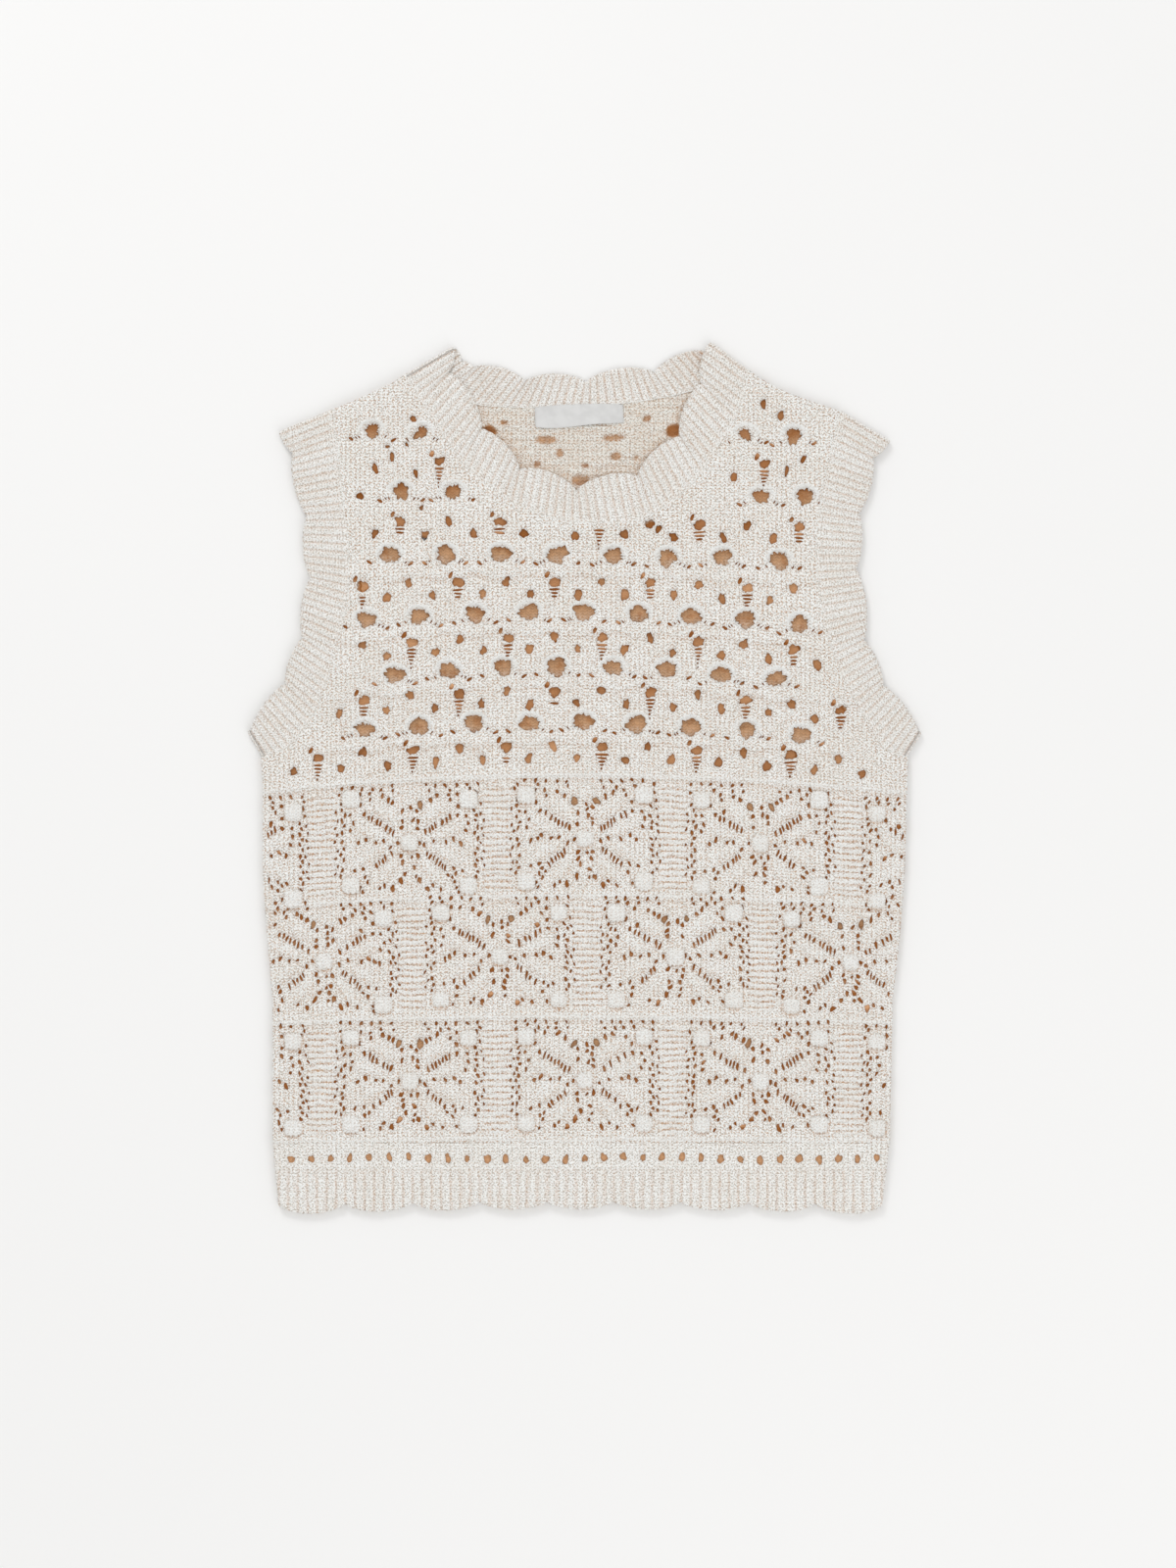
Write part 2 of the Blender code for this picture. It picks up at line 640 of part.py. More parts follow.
def make_label():
    """Blank woven label on the back panel, below the neckband."""
    bm = bmesh.new()
    bmesh.ops.create_cube(bm, size=1.0)
    bmesh.ops.scale(bm, vec=(LABEL_SIZE[0] * MM, LABEL_SIZE[1] * MM, LABEL_WALL * MM), verts=bm.verts)
    bmesh.ops.bevel(bm, geom=bm.edges[:], offset=0.3 * MM, segments=1, affect="EDGES")
    label = new_part("woven_label", bm, LABEL_GREY, LABEL_ROUGHNESS)
    height = BACK_TOP + LABEL_GAP + LABEL_WALL / 2
    label.location = (LABEL_CENTRE[0] * MM, LABEL_CENTRE[1] * MM, height * MM)
    label.rotation_euler = (0.0, 0.0, LABEL_TILT)


def main():
    for old in list(bpy.data.objects):
        bpy.data.objects.remove(old, do_unlink=True)
    collection = bpy.data.collections.new("knit_vest")
    bpy.context.scene.collection.children.link(collection)
    make_panels()
    make_hem_band("back_hem_band", 0.0, BACK_TOP, 4, False)
    make_hem_band("front_hem_band", FRONT_UNDER, FRONT_TOP, 6, True)
    make_armband("left_armband", True)
    make_armband("right_armband", False)
    make_neckband()
    make_label()


main()
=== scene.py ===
"""Looks of the openwork knit vest that lies flat, front up.

The tables are in millimetres, in the frame of the solids: X to the right, Y towards the neck, Z up.
"""
import math
from collections import namedtuple
from functools import cached_property, partialmethod
from itertools import product

import bpy
import numpy as np
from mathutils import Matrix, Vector, kdtree
from mathutils.geometry import delaunay_2d_cdt
from numpy.linalg import norm


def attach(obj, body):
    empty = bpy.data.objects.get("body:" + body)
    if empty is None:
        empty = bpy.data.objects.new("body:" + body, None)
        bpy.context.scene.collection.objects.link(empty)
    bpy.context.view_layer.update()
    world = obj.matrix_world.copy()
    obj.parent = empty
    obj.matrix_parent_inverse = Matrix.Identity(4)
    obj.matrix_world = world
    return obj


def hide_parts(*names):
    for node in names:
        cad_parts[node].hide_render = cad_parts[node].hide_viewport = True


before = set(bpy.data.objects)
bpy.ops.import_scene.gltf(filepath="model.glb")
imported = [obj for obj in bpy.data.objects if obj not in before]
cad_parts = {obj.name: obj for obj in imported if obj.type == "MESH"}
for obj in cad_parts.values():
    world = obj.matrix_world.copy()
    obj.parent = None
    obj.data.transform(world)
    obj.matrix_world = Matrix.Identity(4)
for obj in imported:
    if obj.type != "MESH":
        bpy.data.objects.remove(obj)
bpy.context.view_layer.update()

MM = 0.001
TURN = 2 * np.pi
rng = np.random.default_rng(11)
draw = rng.uniform


def rows_of(kind, *rows):
    """The rows of a table, with named fields."""
    return [kind(*row) for row in rows]


# ---------------------------------------------------------------- sizes that follow the solids
WALL = 2.1
LAYER_GAP = 0.4
BACK_TOP = WALL
FRONT_UNDER = BACK_TOP + LAYER_GAP
FRONT_TOP = FRONT_UNDER + WALL

BodySide = namedtuple("BodySide", "y left right")
BODY_SIDES = rows_of(
    BodySide,
    (13.5, -197.9, 198.5), (-3.3, -196.8, 198), (-60, -196.8, 196.2), (-96, -194.1, 193.5), (-135, -190.8, 189),
    (-190, -190.8, 187.8), (-224, -190.6, 187.2),
)
ARMHOLE_Y, HEM_SEAM_Y = BODY_SIDES[0].y, BODY_SIDES[-1].y

# Places on the armholes' seams and on the armbands' free edges: left x and y, right x and y
ARMHOLE_SEAM = [
    (-197.4, 13.9, 198, 13.9), (-186.6, 17.7, 184.8, 19.5), (-174, 28.5, 175.2, 33.9), (-163.2, 45.9, 163.2, 53.7),
    (-154.2, 74.1, 153.6, 76.5), (-148.8, 95, 147.6, 96.9), (-145.2, 118, 144.6, 118.5),
    (-145.8, 146.7, 142.8, 141), (-148.8, 170.7, 145.2, 164.7), (-151.8, 197.7, 149.4, 189),
    (-154.8, 225.9, 157.8, 224.7),
]
ARMBAND_NOTCHES = [
    (-204.6, 27.3, 205.2, 26.7), (-183, 57.9, 183, 56.7), (-172.2, 86.1, 171, 84.9), (-167.4, 122.7, 166.2, 128.7),
    (-169.6, 161, 168, 162.5), (-178.2, 199.5, 176.8, 196.4), (-186.6, 212.7, 187.2, 207.3),
]
FRONT_NECK_SEAM = [
    (-108.6, 248.1), (-95, 225), (-82.5, 205.5), (-60.6, 181.5), (-37, 166.5), (-12, 159.5), (14, 157.5),
    (40, 162.5), (62.4, 178.5), (78, 197.7), (92, 221), (100.8, 250),
]
BACK_NECK_SEAM = [
    (-108.6, 248.1), (-90, 237), (-66.6, 230.1), (-29.4, 228.3), (8, 229.5), (45, 234), (75, 241), (100.8, 250),
]
FRONT_NECK_NOTCHES = [
    (-80.4, 264.6), (-83.4, 248.7), (-63, 213.9), (-39.6, 189.3), (-4.8, 176.1), (33, 185.1), (58.8, 209.1),
    (72, 241.5), (78, 267.3),
]
BACK_NECK_NOTCHES = [
    (-80.4, 264.6), (-75.6, 255.6), (-67.8, 252), (-36.6, 243.3), (1.2, 242.7), (43.2, 248.7), (74.4, 261.9),
    (78, 267.3),
]
LEFT_SHOULDER = [(-142.2, 231), (-129.6, 236.7), (-117, 242.7)]
RIGHT_SHOULDER = [(138, 231.5), (123, 237), (110, 243.8)]
ARM_SCALLOP_RISE = 0.09
NECK_SCALLOP_RISE = 0.13
ARM_RIB = 5.2            # width of one rib and its valley
NECK_RIB = 5.6

HEM_RIB_TOP_Y = -240.5
HEM_NOTCH_Y = -261.4
HEM_SCALLOP_DROP = 5.9
HEM_ARCH = 2.2
HEM_MIDDLE_DROP = 4.6
HEM_SCALLOPS = 9
HEM_LEFT = -187.2
HEM_RIGHT = 182.6
HEM_RIBS = 63

FOLD_MIDDLE = FOLD_OUTER = FRONT_TOP / 2
FOLD_INNER = LAYER_GAP / 2

# How knitted rows lie: their drop for each square millimetre from the middle, and their slope to the right
RowShape = namedtuple("RowShape", "y bow slope")
ROW_SHAPES = rows_of(
    RowShape,
    (-240, 0, 0), (0, 0.00028, 0.002), (34, 0.00032, 0.011), (68, 0.00046, 0.011), (102, 0.00033, 0.012),
    (136, 0.00010, 0.012), (170, 0, 0.012),
)

# ---------------------------------------------------------------- openings of the knitting
GapRow = namedtuple("GapRow", "y first_x pitch count")
LARGE_ROWS = rows_of(
    GapRow,
    (34.2, -133.8, 33.3, 9), (68.1, -116, 33.3, 8), (101.7, -133.8, 33.3, 9), (136.5, -118.4, 34, 8),
    (174.4, -112, 31.5, 2), (174.4, 108, 28, 2), (211, -130, 30, 2), (211, 99, 29.4, 2),
)
LADDER_ROWS = rows_of(
    GapRow,
    (16.5, -163.8, 58, 6), (50.1, -135.4, 58.4, 6), (83.7, -106, 58.4, 5), (117.3, -136.2, 58.8, 5),
    (153.3, -113, 61, 5), (190.5, -88.8, 198.6, 2),
)
BACK_LARGE_ROWS = rows_of(
    GapRow,
    (19, -117.2, 33.3, 8), (54, -133.8, 33.3, 9), (89, -117.2, 33.3, 8), (124, -133.8, 33.3, 9),
    (152, -127.8, 36, 8), (180.9, -109.8, 36, 7), (208.5, -106.2, 41.4, 6),
)
LARGE_GAP = (12.4, 10.6)
BACK_LARGE_GAP = (12, 6.5)
BACK_SHIFTS = [(0, 0), (0, -8), (0, 8), (8, 0), (-8, 0), (8, -8), (-8, -8), (0, -14)]
SMALL_GAP = (5, 6.4)
Small = namedtuple("Small", "share rise")
SMALL_GAPS = rows_of(Small, (0.25, -4.2), (0.5, 3.6), (0.75, -4.2))

# One ladder: its openings around the ladder's middle, with their tilt in degrees
Opening = namedtuple("Opening", "x y width height tilt")
LADDER_OPENINGS = rows_of(
    Opening,
    (0.8, 3.2, 7.2, 6, 12), (-3.9, 7.6, 2.6, 4.6, -26), (0.6, -1.4, 6.6, 1.7, 3), (0.6, -3.6, 5.6, 1.6, -3),
    (0.5, -5.7, 4.2, 1.5, 2), (0.3, -7.7, 2.8, 1.3, 0), (0.1, -10, 1.3, 1.6, 0), (0.2, -12.6, 0.9, 1.6, 0),
)
# Slits that lean towards a large opening from its left, mirrored on its right
LARGE_SLITS = rows_of(
    Opening,
    (-12.9, -5.2, 1.9, 4, 56), (-8, -3.9, 0.9, 2.6, 38), (-9.9, -4.5, 0.8, 2.4, 42),
)
# Smaller openings of the shoulders, beside the regular rows
SHOULDER_GAPS = rows_of(
    Opening,
    (-104.7, 220.2, 4.2, 4, 0), (-117.6, 197.1, 2.9, 6, 10), (-128, 189.9, 3.6, 6.5, 12),
    (-103.2, 186.9, 2.8, 5.6, 20), (-137.1, 173, 4.6, 4.6, 0), (-120.4, 203.4, 2.8, 2.2, 0),
    (-108.6, 204.6, 2, 3, 30), (-99.6, 166, 2.6, 3.2, -20), (109.9, 229.4, 3.4, 6.2, 5),
    (120.6, 222.4, 4.2, 6, -25), (134.4, 195.6, 2.6, 6, -25), (124, 188.6, 2.9, 6.6, -10),
    (91.6, 184.6, 4.2, 6, -15), (103.7, 158.7, 2.9, 6.6, -10), (89, 150.6, 5, 3.8, 30), (45.5, 152.8, 4, 5.6, -25),
)
LARGE_GAP_SHRINK_Y = 165          # the large openings above this height are smaller, and tilted outwards
LARGE_GAP_SHRINK = 0.80
SLANTED_Y, SLANTED_X = 200, 105   # the openings by the neck above this height are flat and slanted

EYELETS = 31
EYELET_FIRST_X = -179.4
EYELET_PITCH = 11.97
EYELET_Y = -232.6
EYELET_GAP = (3.8, 5.4)

SquareRow = namedtuple("SquareRow", "y height first_x count")
SQUARE_ROWS = rows_of(SquareRow, (-36.6, 68, -214.2, 5), (-108.3, 70, -159, 4), (-184.5, 70, -214.2, 5))
SQUARE_PITCH = 107.4
GARTER_WIDTH = 20
GARTER_PITCH = 3.8
BOBBLE_RADIUS = 4.9
BOBBLE_CORNER = (36, 26.5)
BOBBLE_SQUARENESS = 4.5

# The raised lines between the rows of squares, with their height and how far they sway
Welt = namedtuple("Welt", "y rise sway")
WELTS = rows_of(Welt, (2.2, 0.9, 0.6), (-71.6, 0.8, 0.6), (-145.6, 0.8, 0.6), (-221, 1, 1.3))

# Eyelets of one square, as lines around its middle. Each is mirrored on the right but the middle ones.
EyeletLine = namedtuple("EyeletLine", "x y end_x end_y count size mirrored", defaults=[True])
EYELET_LINES = rows_of(
    EyeletLine,
    (-16.8, 28.6, -10.4, 24.8, 4, 2.5), (-6.9, 22.6, -6.9, 22.6, 1, 3.9), (-4.6, 19.4, -4.8, 9, 4, 2.3),
    (1, 21.4, 2.6, 10.6, 4, 2.3, False), (-24.6, 15.2, -9.8, 6.2, 8, 2.5), (-22.8, 18.8, -22.8, 18.8, 1, 2.8),
    (-6.4, -0.2, -10.6, -3.4, 3, 2.1), (-10.8, -6.6, -21.8, -15.6, 7, 2.4), (-4.8, -8.4, -2.6, -19, 4, 2.5),
    (1.6, -9, 3.4, -24, 5, 1.8, False), (-15.4, 0.6, -21.6, 0.2, 2, 2), (-27.2, 1.6, -33.4, -1.6, 4, 2.4),
    (-40.6, 20, -41.4, -21, 13, 2), (-44.4, 18, -44.8, -19, 9, 1.6), (-5.6, -23.6, -10.6, -28.4, 2, 3),
    (-15, -26.4, -19, -28.6, 2, 2), (-27.4, -15.8, -27, -24, 4, 2.1), (-24, -19.6, -33, -17, 3, 1.9),
    (-42, 35.8, -42, 30.6, 3, 1.9), (-35.8, 35.8, -36, 33.4, 2, 1.9), (-29.4, 35.6, -29.6, 29.8, 3, 2.1),
    (-22.8, 35.4, -24.6, 26.6, 4, 2), (-16.8, 35.2, -18.2, 31.6, 2, 2), (-10.6, 35.2, -11, 31.8, 2, 1.7),
    (-29.8, 22.6, -28.6, 16.8, 2, 2.2), (-35.6, 16.6, -35.4, 7, 3, 2), (-42.8, 28.6, -42.6, 23.6, 2, 1.8),
    (-30, -27.4, -29, -30, 2, 1.8),
)
EYELET_WANDER = 0.55

# Raised leaves between the eyelets of a square's left half, mirrored on its right
LEAVES = rows_of(
    Opening,
    (-15.5, 18.4, 19, 9.5, -31), (-24.5, 6.6, 23, 9, -24), (-23.5, -7.4, 21, 9, 34), (-12.6, -17.4, 20, 9, 55),
)
# Openings of the back that show in the neck opening, which are sunk and not cut through, with floors painted dark as
# shade
BACK_NECK_HOLES = rows_of(
    Opening,
    (-23.4, 207.6, 12, 5, 0), (18, 208.8, 13.2, 3.6, 4), (-2.1, 182.6, 10.6, 6.6, 0), (-48.6, 218.2, 4.6, 2.6, 0),
    (-15, 199.6, 4.4, 4.6, 0), (-28.8, 192.4, 4.2, 3.6, 0), (0.6, 191.8, 4.4, 2.6, 0), (38.4, 220.6, 5.4, 3.8, 14),
    (31.8, 197, 3, 2.6, 0), (19.4, 197.6, 7, 5, 18), (55, 213.4, 9, 7.5, 20), (-57.6, 213.4, 8, 6, -30),
)
LABEL_SIZE = (54, 13.6)
LABEL_CENTRE = (-3, 222.6)
LABEL_TILT = 2           # in degrees
LABEL_WALL = 0.5

# ---------------------------------------------------------------- knitting gauge and colours
WALE = 2.9
ROW = 1.9
FINE = 1.2               # spacing of the points of a sheet that shows
COARSE = 1.6             # spacing of the points along the back's edges
LIP = 0.85               # distance of the first ring of points round an opening
SECOND_LIP = 2.1         # distance of the second ring, in distances of the first
LIP_OVER = 3.0           # width from which an opening has such rings
LIP_CLEAR = 0.6          # least distance of the rings' points to other edges, in distances of the first
GRID_CLEAR = 0.62        # least distance of the grid's points to edges and rings, in spacings
EDGE_SHADE = 0.1         # shade of a sheet's outer wall
HOLE_LIGHT = 0.2         # painted highlight at the openings' rims, where the stitches are also calmer
SEAM_REACH = 2.2         # width of the strip along a seam that is no edge
TUCKED = 1.3             # how far a band's faces start under its seam
SUNK_DEPTH = 0.75        # depth of the narrow openings
SUNK_LIP = 0.8           # how much less the cloth turns down at them
CREAM = (0.947, 0.954, 0.940)
# Painted shade colours: the brown of yarn in shade, a deeper brown for recesses and patches, and a warm brown below
# narrow openings
SHADED_YARN = (0.465, 0.265, 0.142)
DEEP_SHADE_YARN = (0.34, 0.118, 0.024)
WARM_SHADE_YARN = (0.80, 0.46, 0.25)
WARM_SHADE = 3.0         # the share of shaded yarn that gives the painted warm shade below narrow openings
SHOULDER_Y = 125.0       # above it the painted warm shade is a little less warm and darker


# ---------------------------------------------------------------- lines
def smooth_line(places, steps=6):
    """A curve through the places, as points a steps-th of a span apart."""
    spots = np.array(places, float)
    pulls = np.vstack([[spots[1] - spots[0]], (spots[2:] - spots[:-2]) / 2, [spots[-1] - spots[-2]]])
    line = []
    for i, step in product(range(len(spots) - 1), range(steps)):
        t = step / steps
        line.append(
            spots[i] * (2 * t**3 - 3 * t**2 + 1) + pulls[i] * (t**3 - 2 * t**2 + t)
            + spots[i + 1] * (3 * t**2 - 2 * t**3) + pulls[i + 1] * (t**3 - t**2)
        )
    return np.array(line + [spots[-1]])


def scalloped(notches, rise, steps=24):
    """Rounded lobes from notch to notch, which bulge to the left of the run, or right if rise is negative."""
    notches = np.array(notches, float)
    line = []
    for start, end in zip(notches, notches[1:]):
        run = end - start
        outwards = np.array([-run[1], run[0]]) * rise
        for share in (step / steps for step in range(steps)):
            line.append(start + run * share + outwards * math.sin(math.pi * share) ** 0.7)
    return np.array(line + [notches[-1]])


def lengths_along(line):
    return np.concatenate([[0.0], np.cumsum(norm(np.diff(line, axis=0), axis=1))])


def at_distances(line, distances):
    """The points at these distances along a line."""
    along = lengths_along(line)
    return np.stack([np.interp(distances, along, line[:, axis]) for axis in (0, 1)], 1)


def evenly(line, step):
    """The line again, as points about one step apart."""
    whole = lengths_along(line)[-1]
    return at_distances(line, np.linspace(0.0, whole, max(int(round(whole / step)), 1) + 1))


def closed(parts, step):
    """One closed outline from open stretches that meet end to end."""
    return np.vstack([evenly(np.array(part, float), step)[:-1] for part in parts])


def side_x(y, left):
    """The body's left or right edge at a height."""
    heights, *edges = np.array(BODY_SIDES[::-1]).T
    return float(np.interp(y, heights, edges[0 if left else 1]))


def row_bow(x, y):
    """How far a knitted row hangs below its height in the middle."""
    heights, bows, slopes = np.array(ROW_SHAPES).T
    return np.interp(y, heights, bows) * x * x + np.interp(y, heights, slopes) * x


def level_of(points):
    """The heights in the middle of the rows on which the points lie."""
    return points[:, 1] + row_bow(points[:, 0], points[:, 1])


def bowed(x, y):
    return np.array([x, y - row_bow(x, y)])


def of_side(rows, left):
    """The left or the right places of a table for both sides."""
    return [row[:2] if left else row[2:] for row in rows]


def armhole_line(left):
    return smooth_line(of_side(ARMHOLE_SEAM, left))


def welt_line():
    """The line between the yoke and the squares, from the left edge to the right one."""
    y = WELTS[0].y
    left, right = side_x(y - 10.0, True), side_x(y - 10.0, False)
    xs = np.linspace(left, right, int((right - left) / FINE) + 1)
    return np.array([bowed(x, y) for x in xs])


def hem_line(lift=0.0):
    """The ends of the seam between body and hem, from left to right."""
    return [(side_x(HEM_SEAM_Y, left), HEM_SEAM_Y + lift) for left in (True, False)]


def side_line(left, upper, lower):
    """The body's edge downwards from one height to another."""
    between = [row.y for row in BODY_SIDES if lower < row.y < upper]
    return np.array([(side_x(y, left), y) for y in [upper, *between, lower]])


def above(right_y, left_y, neck_seam):
    """An outline's stretches from a height on the right side over the neck to a height on the left one."""
    right, left = armhole_line(False), armhole_line(True)
    return [
        np.vstack([side_line(False, ARMHOLE_Y, right_y)[::-1], right[:1]]), right,
        [right[-1], *RIGHT_SHOULDER, neck_seam[-1]], smooth_line(neck_seam)[::-1],
        [neck_seam[0], *reversed(LEFT_SHOULDER), left[-1]], left[::-1],
        np.vstack([left[:1], side_line(True, ARMHOLE_Y, left_y)]),
    ]


def yoke_outline():
    welt = welt_line()
    return np.vstack([welt[:-1], closed(above(welt[-1][1], welt[0][1], FRONT_NECK_SEAM), FINE)])


def squares_outline():
    welt = welt_line()
    right, left = side_line(False, welt[-1][1], HEM_SEAM_Y)[::-1], side_line(True, welt[0][1], HEM_SEAM_Y)
    return np.vstack([closed([hem_line(), right], FINE), welt[:0:-1], closed([left], FINE)])


def back_outline():
    return closed([hem_line(), *above(HEM_SEAM_Y, HEM_SEAM_Y, BACK_NECK_SEAM)], COARSE)


# ---------------------------------------------------------------- fields
def nearest(points, targets):
    """The distance from each point to the nearest target."""
    tree = kdtree.KDTree(len(targets))
    for i, (x, y) in enumerate(targets):
        tree.insert((x, y, 0.0), i)
    tree.balance()
    return np.array([tree.find((x, y, 0.0))[2] for x, y in points])


def inside(points, ring):
    """Which points lie inside a closed ring."""
    result = np.zeros(len(points), bool)
    near = np.flatnonzero(((points >= ring.min(0)) & (points <= ring.max(0))).all(1))
    if not len(near):
        return result
    x, y = points[near, 0][:, None], points[near, 1][:, None]
    a, b = ring, np.roll(ring, -1, axis=0)
    crosses = (a[:, 1] > y) != (b[:, 1] > y)
    with np.errstate(divide="ignore", invalid="ignore"):
        at = a[:, 0] + (b[:, 0] - a[:, 0]) * (y - a[:, 1]) / (b[:, 1] - a[:, 1])
    result[near] = (crosses & (x < at)).sum(1) % 2 == 1
    return result


def close_to(points, centre, reach):
    """Which points lie in a square around a centre, and where they lie from it."""
    dx, dy = points[:, 0] - centre[0], points[:, 1] - centre[1]
    near = np.flatnonzero((np.abs(dx) < reach) & (np.abs(dy) < reach))
    return near, dx[near], dy[near]


def area_of(ring):
    x, y = ring[:, 0], ring[:, 1]
    return 0.5 * float((x * np.roll(y, -1) - np.roll(x, -1) * y).sum())


def soft_noise(points, cell, seed):
    """Smooth random heights from -1 to 1 over cells of this size."""
    table = np.random.default_rng(seed).uniform(-1.0, 1.0, (64, 64))
    spot = points / cell
    first = np.floor(spot).astype(int)
    share = spot - first
    u, v = (share * share * (3 - 2 * share)).T
    i, j = (first % 64).T
    i2, j2 = (i + 1) % 64, (j + 1) % 64
    low, high = (table[i, row] * (1 - u) + table[i2, row] * u for row in (j, j2))
    return low * (1 - v) + high * v


def cos_sin(degrees):
    return math.cos(math.radians(degrees)), math.sin(math.radians(degrees))


def bump(distance, width):
    return np.exp(-((distance / width) ** 2))


def wave(phase):
    """A wave from 1 at whole numbers to 0 halfway between them."""
    return 0.5 + 0.5 * np.cos(TURN * phase)


# ---------------------------------------------------------------- openings
def ragged(x, y, width, height, sides, rough, tilt=0.0, lower_point=1.0, fray=0.0):
    """The edge of an opening in knitting: an uneven oval, clockwise, pointed below if lower_point is over 1."""
    turn = -TURN * (np.arange(sides) + draw(0, 1)) / sides
    across, up = np.cos(turn), np.sin(turn)
    up = np.where(up < 0, -np.abs(up) ** lower_point, np.abs(up) ** 0.85)
    waves = [share * np.sin(count * turn + draw(0, 6)) for count, share in ((2, 0.7), (3, 0.8), (5, 0.6))]
    reach = 1.0 + rough * (sum(waves) + draw(-1.0, 1.0, sides) * 0.9)
    points = np.stack([across * reach * width / 2, up * reach * height / 2], 1)
    if fray:
        points *= 1.0 + fray * (draw(-1, 1, sides) / norm(points, axis=1))[:, None]
    c, s = cos_sin(tilt)
    return points @ np.array([[c, -s], [s, c]]).T + [x, y]


def with_quarters(ring):
    """The ring's points and the quarter points of its edges."""
    following = np.roll(ring, -1, axis=0)
    return np.vstack([ring + (following - ring) * share for share in (0.0, 0.25, 0.5, 0.75)])


def middle_and_reach(ring):
    middle = ring.mean(0)
    return middle, norm(ring - middle, axis=1).max()


Hole = namedtuple("Hole", "kind ring middle reach")


class Openings:
    """Openings that keep clear of each other and of the sheet's edge. The kind "sunk" isn't cut through."""

    def __init__(self, outline):
        self.outline, self.holes = outline, []

    def room_for(self, ring, clear):
        """Whether a ring stays this far from the openings so far, and in none of them."""
        middle, reach = middle_and_reach(ring)
        for hole in self.holes:
            if math.dist(hole.middle, middle) - hole.reach - reach < clear:
                gaps = with_quarters(ring)[:, None] - with_quarters(hole.ring)[None]
                if (norm(gaps, axis=2).min() < clear or inside(middle[None], hole.ring)[0]
                        or inside(hole.middle[None], ring)[0]):
                    return False
        return True

    def add(self, kind, *shape, margin=1.0, clear=0.5, **more):
        """Take in one ragged opening, if there is room for it."""
        ring = ragged(*shape, **more)
        to_edge = norm(self.outline[:, None] - ring[None], axis=2).min()
        if inside(ring, self.outline).all() and to_edge >= margin and self.room_for(ring, clear):
            self.holes.append(Hole(kind, ring, *middle_and_reach(ring)))

    def rings(self, sunk=False):
        return [hole.ring for hole in self.holes if (hole.kind == "sunk") == sunk]

    def middles(self, *kinds):
        return [hole.middle for hole in self.holes if hole.kind in kinds]


def yoke_openings():
    openings = Openings(yoke_outline())
    for row in LARGE_ROWS:
        for i in range(row.count):
            x, y = bowed(row.first_x + i * row.pitch, row.y) + draw(-0.7, 0.7, 2)
            width, height = LARGE_GAP[0] * draw(0.86, 1.06), LARGE_GAP[1] * draw(0.82, 1.06)
            tilt = draw(-14, 14)
            if row.y > LARGE_GAP_SHRINK_Y:
                width, height, tilt = width * LARGE_GAP_SHRINK, height * 0.9, tilt - 16 * np.sign(x)
            if row.y > SLANTED_Y and abs(x) < SLANTED_X:
                height, tilt = height * 0.66, -36.0 * np.sign(x)
            openings.add("large", x, y, width, height, 34, 0.10, tilt, draw(1.1, 1.8), margin=2.0, fray=0.9)
    for row in LADDER_ROWS:
        for i in range(row.count):
            x, y = bowed(row.first_x + i * row.pitch, row.y) + draw(-0.5, 0.5, 2)
            spread = draw(0.85, 1.3)
            for number, part in enumerate(LADDER_OPENINGS):
                if number > 3 and draw() < 0.2:
                    break
                kind, sides, fray = ("sunk", 10, 0.0) if number else ("ladder", 18, 0.6)
                width = part.width * draw(0.85, 1.1) * (spread if number > 1 else 1.0)
                openings.add(kind, x + part.x, y + part.y, width, part.height * draw(0.85, 1.1), sides,
                             0.09 if number < 2 else 0.04, part.tilt + draw(-4, 4), margin=1.6, clear=0.36, fray=fray)
    for row in LADDER_ROWS[:-1]:
        for i, small in product(range(-1, row.count), SMALL_GAPS):
            place = bowed(row.first_x + (i + small.share) * row.pitch, row.y + small.rise)
            openings.add("small", *(place + draw(-0.8, 0.8, 2)), SMALL_GAP[0] * draw(0.75, 1.1),
                         SMALL_GAP[1] * draw(0.75, 1.1), 14, 0.12, draw(-25, 25), margin=2.4, clear=1.0, fray=0.5)
    for gap in SHOULDER_GAPS:
        openings.add("small", *gap[:4], 12, 0.12, gap.tilt, margin=1.6, clear=0.8, fray=0.3)
    for (x, y), side, slit in product(openings.middles("large"), (1, -1), LARGE_SLITS):
        if slit is LARGE_SLITS[0] or draw() >= 0.45:
            openings.add("sunk", x + side * slit.x + draw(-0.6, 0.6), y + slit.y + draw(-0.6, 0.6), slit.width,
                         slit.height * draw(0.8, 1.1), 8, 0.08, side * slit.tilt, margin=1.2, clear=0.45)
    return openings


def square_places():
    return [bowed(row.first_x + i * SQUARE_PITCH, row.y) for row in SQUARE_ROWS for i in range(row.count)]


def bobble_places():
    corners = [(0.0, 0.0), *(np.multiply(signs, BOBBLE_CORNER) for signs in product((-1, 1), repeat=2))]
    return np.array([centre + corner for centre in square_places() for corner in corners])


def square_openings():
    openings = Openings(squares_outline())
    bobbles = bobble_places()
    for centre, line in product(square_places(), EYELET_LINES):
        run, rise = line.end_x - line.x, line.end_y - line.y
        comb = line.count > 5 and line.size > 2.3
        slope = math.degrees(math.atan2(rise, abs(run))) * np.sign(run)
        for side, i in product((-1, 1) if line.mirrored else (-1,), range(line.count)):
            share = i / max(line.count - 1, 1)
            x = -side * (line.x + run * share) + draw(-1, 1) * EYELET_WANDER
            y = line.y + rise * share + draw(-1, 1) * EYELET_WANDER
            zigzag = (0.7 if i % 2 else -0.7) * (line.size < 2.3)
            place = centre + [x + zigzag, y]
            if norm(bobbles - place, axis=1).min() < BOBBLE_RADIUS + 0.6:
                continue
            width, height = line.size * draw(0.78, 1.12), line.size * draw(1.2, 1.8)
            tilt = draw(-30, 30)
            if comb:
                width, height, tilt = width * 0.68, height * 1.25, 0.4 * tilt - 0.4 * side * slope
            else:
                tilt += side * 16
            openings.add("sunk" if line.size < 3.5 else "cut", *place, width, height, 9, 0.15, tilt, clear=0.40)
    return openings


